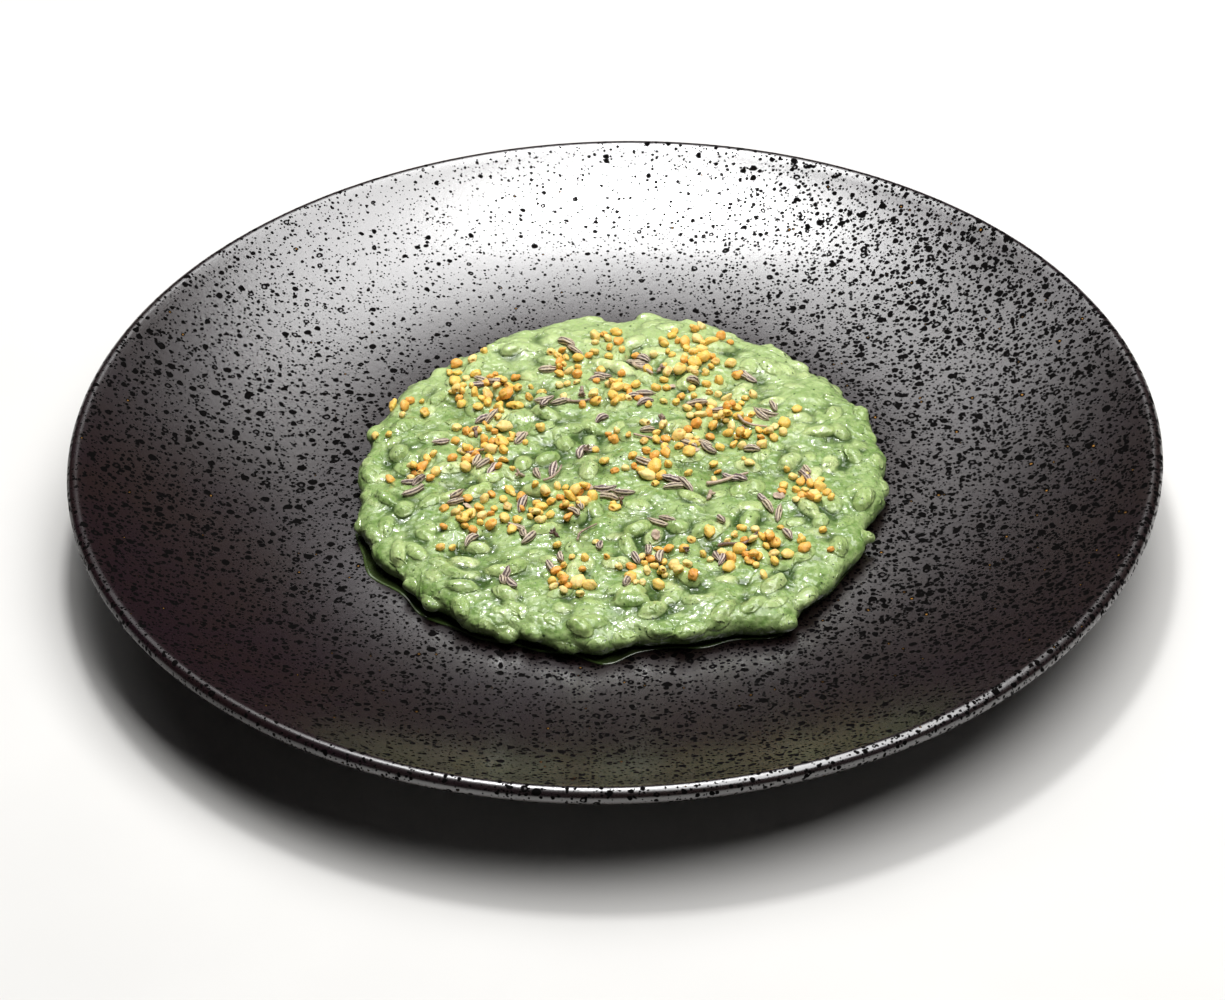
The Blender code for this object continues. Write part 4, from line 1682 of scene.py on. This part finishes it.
@dataclass(frozen=True)
class Seeds:
    """Fennel seeds: ribbed, curved and pointed, some with a bit of stalk."""

    length: float = 0.0052
    width: float = 0.0020
    # The seeds lie in sprigs of one to three, on an even spiral about the middle.
    sprigs: int = 42
    field: float = 0.054
    spread: float = 0.0026
    turn: int = 67
    blanks: int = 9
    rings: int = 14
    around: int = 30
    ribs: int = 6

    def spots(self, pollen: Sequence[tuple[float, float, float]]) -> list[tuple[float, float, float, float]]:
        """Lays the seeds in twos and threes, mostly clear of the pollen.

        Args:
            pollen: the pollen's spots.

        Returns:
            (x, y, heading, stretch) of each seed.
        """
        rng = random.Random(17)
        places = []
        for index in range(self.sprigs):
            middle_x, middle_y = spiral_spot(index, self.sprigs, self.field)
            count, heading = 1 + index % 3, index * self.turn % 180
            for _ in range(count):
                turn, stretch = math.radians(heading + rng.gauss(0, 8 + 6 * count)), rng.uniform(0.80, 1.18)
                x = y = 0.0
                for widen in range(30):
                    reach = self.spread * (0.5 + widen * 0.03)
                    x = middle_x + rng.gauss(0, reach)
                    y = middle_y + rng.gauss(0, reach)
                    if clear_of(x, y, pollen, 0.0017) and clear_of(x, y, places, 0.0021):
                        break
                places.append((x, y, turn, stretch))
        return places

    def blank(self, index: int) -> bpy.types.Mesh:
        """Shapes one seed.

        Args:
            index: which of the blanks.

        Returns:
            Its mesh, one unit in each half size.
        """
        rng = random.Random(300 + index)
        bend, bow = rng.uniform(-0.55, 0.55), rng.uniform(0.0, 0.4)
        blunt, lean, split = rng.uniform(0.80, 1.05), rng.uniform(-0.26, 0.26), rng.uniform(0.05, 0.26)
        ragged = index == 5
        spins = [math.tau * turn / self.around for turn in range(self.around)]
        uneven = [0.55 + 0.9 * noise.noise(Vector((spin * 1.3, index * 2.9, 4.0))) for spin in spins]
        wave = [
            (math.cos(self.ribs * spin) + 1) / 2 * min(1.0, 0.5 + level)
            for spin, level in zip(spins, uneven)
        ]
        rings = []
        for step in range(1, self.rings):
            angle = math.pi * step / self.rings
            x = -math.cos(angle)
            reach = math.sin(angle) ** blunt * (1 + lean * x)
            open_end = ragged and x > 0.5
            if open_end:
                reach = max(reach, 0.80 + 0.25 * (x - 0.5))
            ring = []
            for spin, high in zip(spins, wave):
                dented = 0.82 + 0.18 * high + 0.26 * noise.noise(Vector((x * 2.5, spin * 0.8, index * 1.7)))
                dented -= split * math.exp(-((math.remainder(spin - 1.6, math.tau) / 0.35) ** 2))
                out, across = reach * dented, bend * (x * x - 0.4)
                torn = 0.35 * noise.noise(Vector((spin * 2.0, index, 0.0))) if open_end else 0.0
                y, z = out * math.cos(spin) + across, out * math.sin(spin) - bow * (x * x - 0.3)
                ring.append(Vector((x + torn, y, z)))
            rings.append(ring)
        if index % 3 == 1:
            middle = Vector((1.02, bend * 0.66, -bow * 0.70))
            for step in range(2):
                stub = middle + Vector((0.14 * step, 0.04 * step, 0.0))
                rings.append(
                    [stub + Vector((0.0, 0.17 * math.cos(spin), 0.17 * math.sin(spin))) for spin in spins]
                )
        last = 0.60 if ragged else (1.08, 1.22, 1.08)[index % 3]
        ends = [Vector((x, bend * 0.62, -bow * 0.70)) for x in (-1.10, last)]
        return to_mesh(f"seed_blank_{index}", loft(rings, (ends[0], ends[1]), wave))

    def build(
        self,
        scatter: Scatter,
        ground: Ground,
        places: Sequence[tuple[float, float, float, float]],
        material: bpy.types.Material,
    ) -> bpy.types.Object:
        """Lays the seeds.

        Args:
            scatter: the tool that copies them.
            ground: the risotto's skin.
            places: where they go.
            material: their finish.

        Returns:
            The seeds.
        """
        rng = random.Random(43)
        laid = []
        for index, (x, y, heading, stretch) in enumerate(places):
            frame = ground.frame(x, y, heading, 0.0016, self.width * 0.26)
            frame = frame @ Matrix.Rotation(rng.gauss(0, 0.13), 4, "Y")
            frame = frame @ Matrix.Rotation(rng.uniform(0, math.tau), 4, "X")
            girth = self.width / 2 * rng.uniform(0.94, 1.20)
            half = Vector((self.length / 2 * stretch * rng.uniform(0.92, 1.06), girth, girth * 0.92))
            laid.append(Place(frame, half, index % self.blanks, rng.random()))
        blanks = [self.blank(index) for index in range(self.blanks)]
        piece = scatter.make("fennel_seeds", blanks, laid, material)
        finish_piece(piece, material)
        return piece


def tube(path: Sequence[Vector], thickness: Sequence[float], around: int = 8) -> bmesh.types.BMesh:
    """Makes a closed stem along a path.

    Args:
        path: its points.
        thickness: its radius at each point.
        around: how many sides it has.

    Returns:
        The stem.
    """
    rings = []
    for index, (point, radius) in enumerate(zip(path, thickness)):
        along = (path[min(index + 1, len(path) - 1)] - path[max(index - 1, 0)]).normalized()
        side = along.cross(Vector((0.0, 0.0, 1.0))).normalized()
        up = side.cross(along)
        ring = []
        for turn in range(around):
            spin = math.tau * turn / around
            out = radius * (1 + 0.3 * noise.noise(Vector((index * 0.9, turn * 1.3, radius * 9000))))
            ring.append(point + side * (out * math.cos(spin)) + up * (out * math.sin(spin)))
        rings.append(ring)
    start = path[0] - (path[1] - path[0]).normalized() * thickness[0] * 0.5
    end = path[-1] + (path[-1] - path[-2]).normalized() * thickness[-1] * 0.5
    return loft(rings, (start, end), [0.5] * around)


@dataclass(frozen=True)
class Stems:
    """Dried stems, flower bits and petals, laid evenly over the middle of the risotto."""

    twigs: int = 9
    twig_field: float = 0.048
    twig_turn: float = 1.1
    flowers: int = 12
    petals: int = 7
    bit_field: float = 0.046
    flower_size: float = 0.0017
    petal_size: float = 0.0015

    def route(self, index: int) -> list[tuple[float, float, float]]:
        """Draws where one stem runs.

        Args:
            index: which of the stems.

        Returns:
            The (x, y, height) of each of its points in millimetres.
        """
        rng = random.Random(520 + index)
        x, y = (value / MM for value in spiral_spot(index, self.twigs, self.twig_field, self.twig_turn))
        heading, bend, stride = rng.uniform(0, math.tau), rng.uniform(-0.5, 0.5), rng.uniform(2.6, 4.0)
        knots = []
        for _ in range(4):
            knots.append((x, y, rng.uniform(0.4, 1.1)))
            x, y = x + stride * math.cos(heading), y + stride * math.sin(heading)
            heading += bend
        return knots

    def stem(self, ground: Ground, knots: Sequence[Sequence[float]], radius: float) -> bmesh.types.BMesh:
        """Makes one stem through its points.

        Args:
            ground: the risotto's skin.
            knots: x, y and height of each point in millimetres.
            radius: its radius at the thick end in millimetres.

        Returns:
            The stem.
        """
        path, steps = [], 5
        for before, after in zip(knots, knots[1:]):
            for step in range(steps):
                path.append([a + (b - a) * step / steps for a, b in zip(before, after)])
        path.append(knots[-1])
        for _ in range(3):
            threes = zip(path, path[1:], path[2:])
            inner = [[(a + 2 * b + c) / 4 for a, b, c in zip(*three)] for three in threes]
            path = [path[0], *inner, path[-1]]
        level = [ground.touch(x * MM, y * MM).z for x, y, _ in path]
        for _ in range(6):
            level = [level[0], *((a + b + c) / 3 for a, b, c in zip(level, level[1:], level[2:])), level[-1]]
        line = [Vector((x * MM, y * MM, z + lift * MM)) for (x, y, lift), z in zip(path, level)]
        count = len(line) - 1
        return tube(line, [radius * MM * (1.0 - 0.4 * index / count) for index in range(count + 1)])

    def flower(self, index: int) -> bpy.types.Mesh:
        """Shapes a dried calyx: a knob with ragged pointed leaves round it."""
        rng = random.Random(400 + index)
        knob = [Vector((0, 0, -0.9)), Vector((0.05, 0, -0.3)), Vector((0, 0.05, 0.1))]
        body = tube(knob, [0.22, 0.34, 0.26])
        for leaf in range(7):
            heading = math.tau * (leaf + rng.uniform(-0.35, 0.35)) / 7
            out, rise = rng.uniform(0.22, 0.70), rng.uniform(0.6, 1.2)
            way = Vector((math.cos(heading), math.sin(heading), 0.0))
            line = [
                way * (out * share) + Vector((0, 0, rise * share * (1.3 - share * 0.5)))
                for share in (0.1, 0.4, 0.7, 1.0)
            ]
            scrap = tube(line, [0.16, 0.24, 0.22, 0.10], 6)
            mesh = to_mesh("leaf", scrap)
            body.from_mesh(mesh)
            bpy.data.meshes.remove(mesh)
        return to_mesh(f"flower_{index}", body)

    def petal(self, index: int) -> bpy.types.Mesh:
        """Shapes a dried petal: a thin, crumpled oval."""
        body = bmesh.new()
        bmesh.ops.create_icosphere(body, subdivisions=3, radius=1.0)
        shift = Vector((index * 2.3, 0.0, 0.0))
        for vert in body.verts:
            edge = 1 + 0.22 * noise.noise(vert.co * 2.0 + shift)
            x, y = vert.co.x * edge, vert.co.y * 0.72 * edge
            vert.co = Vector((x, y, vert.co.z * 0.20 + 0.35 * noise.noise(Vector((x, y, index)) * 1.4)))
        return to_mesh(f"petal_{index}", body)

    def build(self, scatter: Scatter, ground: Ground, material: bpy.types.Material) -> None:
        """Lays the stems, the flower bits and the petals.

        Args:
            scatter: the tool that copies them.
            ground: the risotto's skin.
            material: their finish.
        """
        body = bmesh.new()
        layer = body.verts.layers.float.new("tone")
        rng = random.Random(43)
        for index in range(self.twigs):
            radius, tone = rng.uniform(0.32, 0.65), rng.random()
            mesh = to_mesh("twig", self.stem(ground, self.route(index), radius))
            before = len(body.verts)
            body.from_mesh(mesh)
            bpy.data.meshes.remove(mesh)
            body.verts.ensure_lookup_table()
            for vert in range(before, len(body.verts)):
                body.verts[vert][layer] = tone
        finish_piece(link("dried_stems", to_mesh("dried_stems", body)), material)
        rng = random.Random(47)
        for name, count, turn, size, shape, tilt in (
            ("flower_bits", self.flowers, 2.4, self.flower_size, self.flower, 0.9),
            ("dried_petals", self.petals, 4.1, self.petal_size, self.petal, 0.2),
        ):
            places = []
            for index in range(count):
                x, y = spiral_spot(index, count, self.bit_field, turn)
                tone = rng.uniform(0.05, 0.80) if tilt > 0.5 else rng.uniform(0.80, 1.0)
                lift = size * (0.55 if tilt > 0.5 else 0.25)
                frame = ground.frame(x, y, rng.uniform(0, math.tau), size, lift)
                frame = frame @ Euler((rng.gauss(0, tilt), rng.gauss(0, tilt), 0.0)).to_matrix().to_4x4()
                grown = size * rng.uniform(0.8, 1.15)
                places.append(Place(frame, Vector((grown, grown, grown)), index % 3, tone))
            piece = scatter.make(name, [shape(index) for index in range(3)], places, material)
            finish_piece(piece, material)


@dataclass(frozen=True)
class Film:
    """Thin sauce that has run out from under the mound onto the plate."""

    mound: Mound
    plate: Plate
    reach: float = -0.0022
    thickness: float = 0.00028
    under: float = 0.0070
    steps: int = 360
    lobes: tuple[tuple[float, float, float], ...] = (
        (268, 6, 3.8), (207, 15, 4.4), (228, 8, 2.6), (248, 7, 2.2), (286, 7, 1.5), (300, 9, 0.9),
        (186, 9, 2.0), (322, 6, 0.8),
    )

    def edge(self, angle: float) -> float:
        """Returns how far the film's edge lies from the mound's middle in a direction."""
        out = self.reach + 0.0003 * noise.noise(Vector((math.cos(angle), math.sin(angle), 0.5)) * 9)
        for heading, width, reach in self.lobes:
            apart = math.degrees(math.remainder(angle - math.radians(heading), math.tau))
            out += reach * MM * math.exp(-((apart / width) ** 2))
        return self.mound.outline(angle) + out

    def build(self, material: bpy.types.Material) -> bpy.types.Object:
        """Makes the film.

        Args:
            material: its finish.

        Returns:
            The film.
        """
        body = bmesh.new()
        layer = body.verts.layers.float.new("bead")
        section = (
            (0.0, 0.0), (0.0, 0.8), (0.5, 0.8), (0.84, 0.8), (0.92, 1.0), (0.96, 0.85), (0.985, 0.50),
            (1.0, 0.0), (0.6, 0.0),
        )
        rings = []
        for step in range(self.steps):
            angle = math.tau * step / self.steps
            edge = self.edge(angle)
            ring = []
            for share, height in section:
                point = self.mound.on_plate(edge - self.under * (1 - share), angle, 0.0)
                floor = self.plate.top(math.hypot(point.x, point.y)) + 0.00002
                point.z = floor + height * self.thickness
                vert = body.verts.new(point)
                vert[layer] = 1.0 if share > 0.9 else 0.0
                ring.append(vert)
            rings.append(ring)
        for before, after in zip(rings, rings[1:] + rings[:1]):
            for index in range(len(section)):
                nearby = (index + 1) % len(section)
                body.faces.new((before[index], after[index], after[nearby], before[nearby]))
        bmesh.ops.recalc_face_normals(body, faces=body.faces)
        film = link("thin_sauce", to_mesh("thin_sauce", body))
        finish_piece(film, material)
        return film


# ---- Stage ----


@dataclass(frozen=True)
class Viewpoint:
    """The camera: a long lens that looks down on the dish, leaning a little to one side."""

    place: Vector = Vector((0.0, -1.0394, 0.7973))
    aim: Vector = Vector((-0.0008, -0.0234, 0.0248))
    lens: float = 148.5
    lean: float = math.radians(-1.54)

    def build(self) -> bpy.types.Object:
        """Returns the camera, set as the scene's own."""
        data = bpy.data.cameras.new("camera")
        data.lens = self.lens
        data.sensor_width = 36.0
        data.clip_start, data.clip_end = 0.05, 20.0
        camera = bpy.data.objects.new("camera", data)
        bpy.context.scene.collection.objects.link(camera)
        facing = (self.aim - self.place).to_track_quat("-Z", "Y")
        camera.rotation_mode = "QUATERNION"
        camera.rotation_quaternion = facing @ Quaternion((0, 0, 1), self.lean)
        camera.location = self.place
        bpy.context.scene.camera = camera
        return camera


@dataclass(frozen=True)
class Lamp:
    """A soft studio lamp: its place, its size, its power and what it points at."""

    name: str
    place: Vector
    width: float
    depth: float
    watts: float
    colour: Colour = (1.0, 1.0, 1.0)
    aim: Vector = Vector((0.0, 0.0, 0.015))

    def build(self) -> bpy.types.Object:
        """Returns the lamp."""
        data = bpy.data.lights.new(self.name, "AREA")
        data.shape = "RECTANGLE"
        data.size, data.size_y = self.width, self.depth
        data.energy = self.watts
        data.color = self.colour
        lamp = bpy.data.objects.new(self.name, data)
        bpy.context.scene.collection.objects.link(lamp)
        lamp.location = self.place
        lamp.rotation_euler = (self.aim - self.place).to_track_quat("-Z", "Y").to_euler()
        return lamp


@dataclass(frozen=True)
class Studio:
    """The pale floor, the lamps and the dim room round them."""

    floor_half: float = 3.0
    floor_height: float = -0.0001
    room: Colour = (0.75, 0.80, 0.85)
    room_light: float = 0.006
    lamps: tuple[Lamp, ...] = (
        Lamp("key", Vector((-0.04, 0.405, 1.10)), 0.15, 0.15, 5.6),
        Lamp("rear", Vector((-0.42, 0.92, 1.09)), 1.11, 0.26, 1.8),
        Lamp("overhead", Vector((0.22, 0.145, 1.12)), 1.50, 0.84, 19.0),
    )

    def build(self, material: bpy.types.Material) -> None:
        """Sets up the studio.

        Args:
            material: the floor's finish.
        """
        body = bmesh.new()
        bmesh.ops.create_grid(body, x_segments=8, y_segments=8, size=self.floor_half)
        bmesh.ops.translate(body, verts=body.verts, vec=(0, 0, self.floor_height))
        floor = link("floor", to_mesh("floor", body))
        floor.data.materials.append(material)
        for lamp in self.lamps:
            lamp.build()
        world = bpy.data.worlds.new("room")
        world.use_nodes = True
        sky = world.node_tree.nodes["Background"]
        sky.inputs[0].default_value = (*self.room, 1.0)
        sky.inputs[1].default_value = self.room_light
        bpy.context.scene.world = world
        bpy.context.scene.view_settings.view_transform = "Standard"


def main() -> None:
    """Builds the dish and the studio in order."""
    logging.basicConfig(level=logging.INFO, format="%(name)s: %(message)s")
    patterns = Patterns(Speckle(), Mottle())
    scatter = Scatter()
    Viewpoint().build()
    Studio().build(FloorFinish().material(patterns))
    plate = Plate()
    plate.build(GlazeFinish().material(patterns))
    mound = Mound()
    Film(mound, plate).build(FilmFinish().material(patterns))
    risotto = Risotto(mound, Rice(mound)).build(scatter, RisottoFinish().material(patterns))
    ground = Ground(risotto)
    pollen = Pollen()
    pollen.build(scatter, ground, PollenFinish().material(patterns))
    Stems().build(scatter, ground, DriedFinish().material(patterns))
    seeds = Seeds()
    seeds.build(scatter, ground, seeds.spots(pollen.spots()), SeedFinish().material(patterns))


if __name__ == "__main__":
    main()
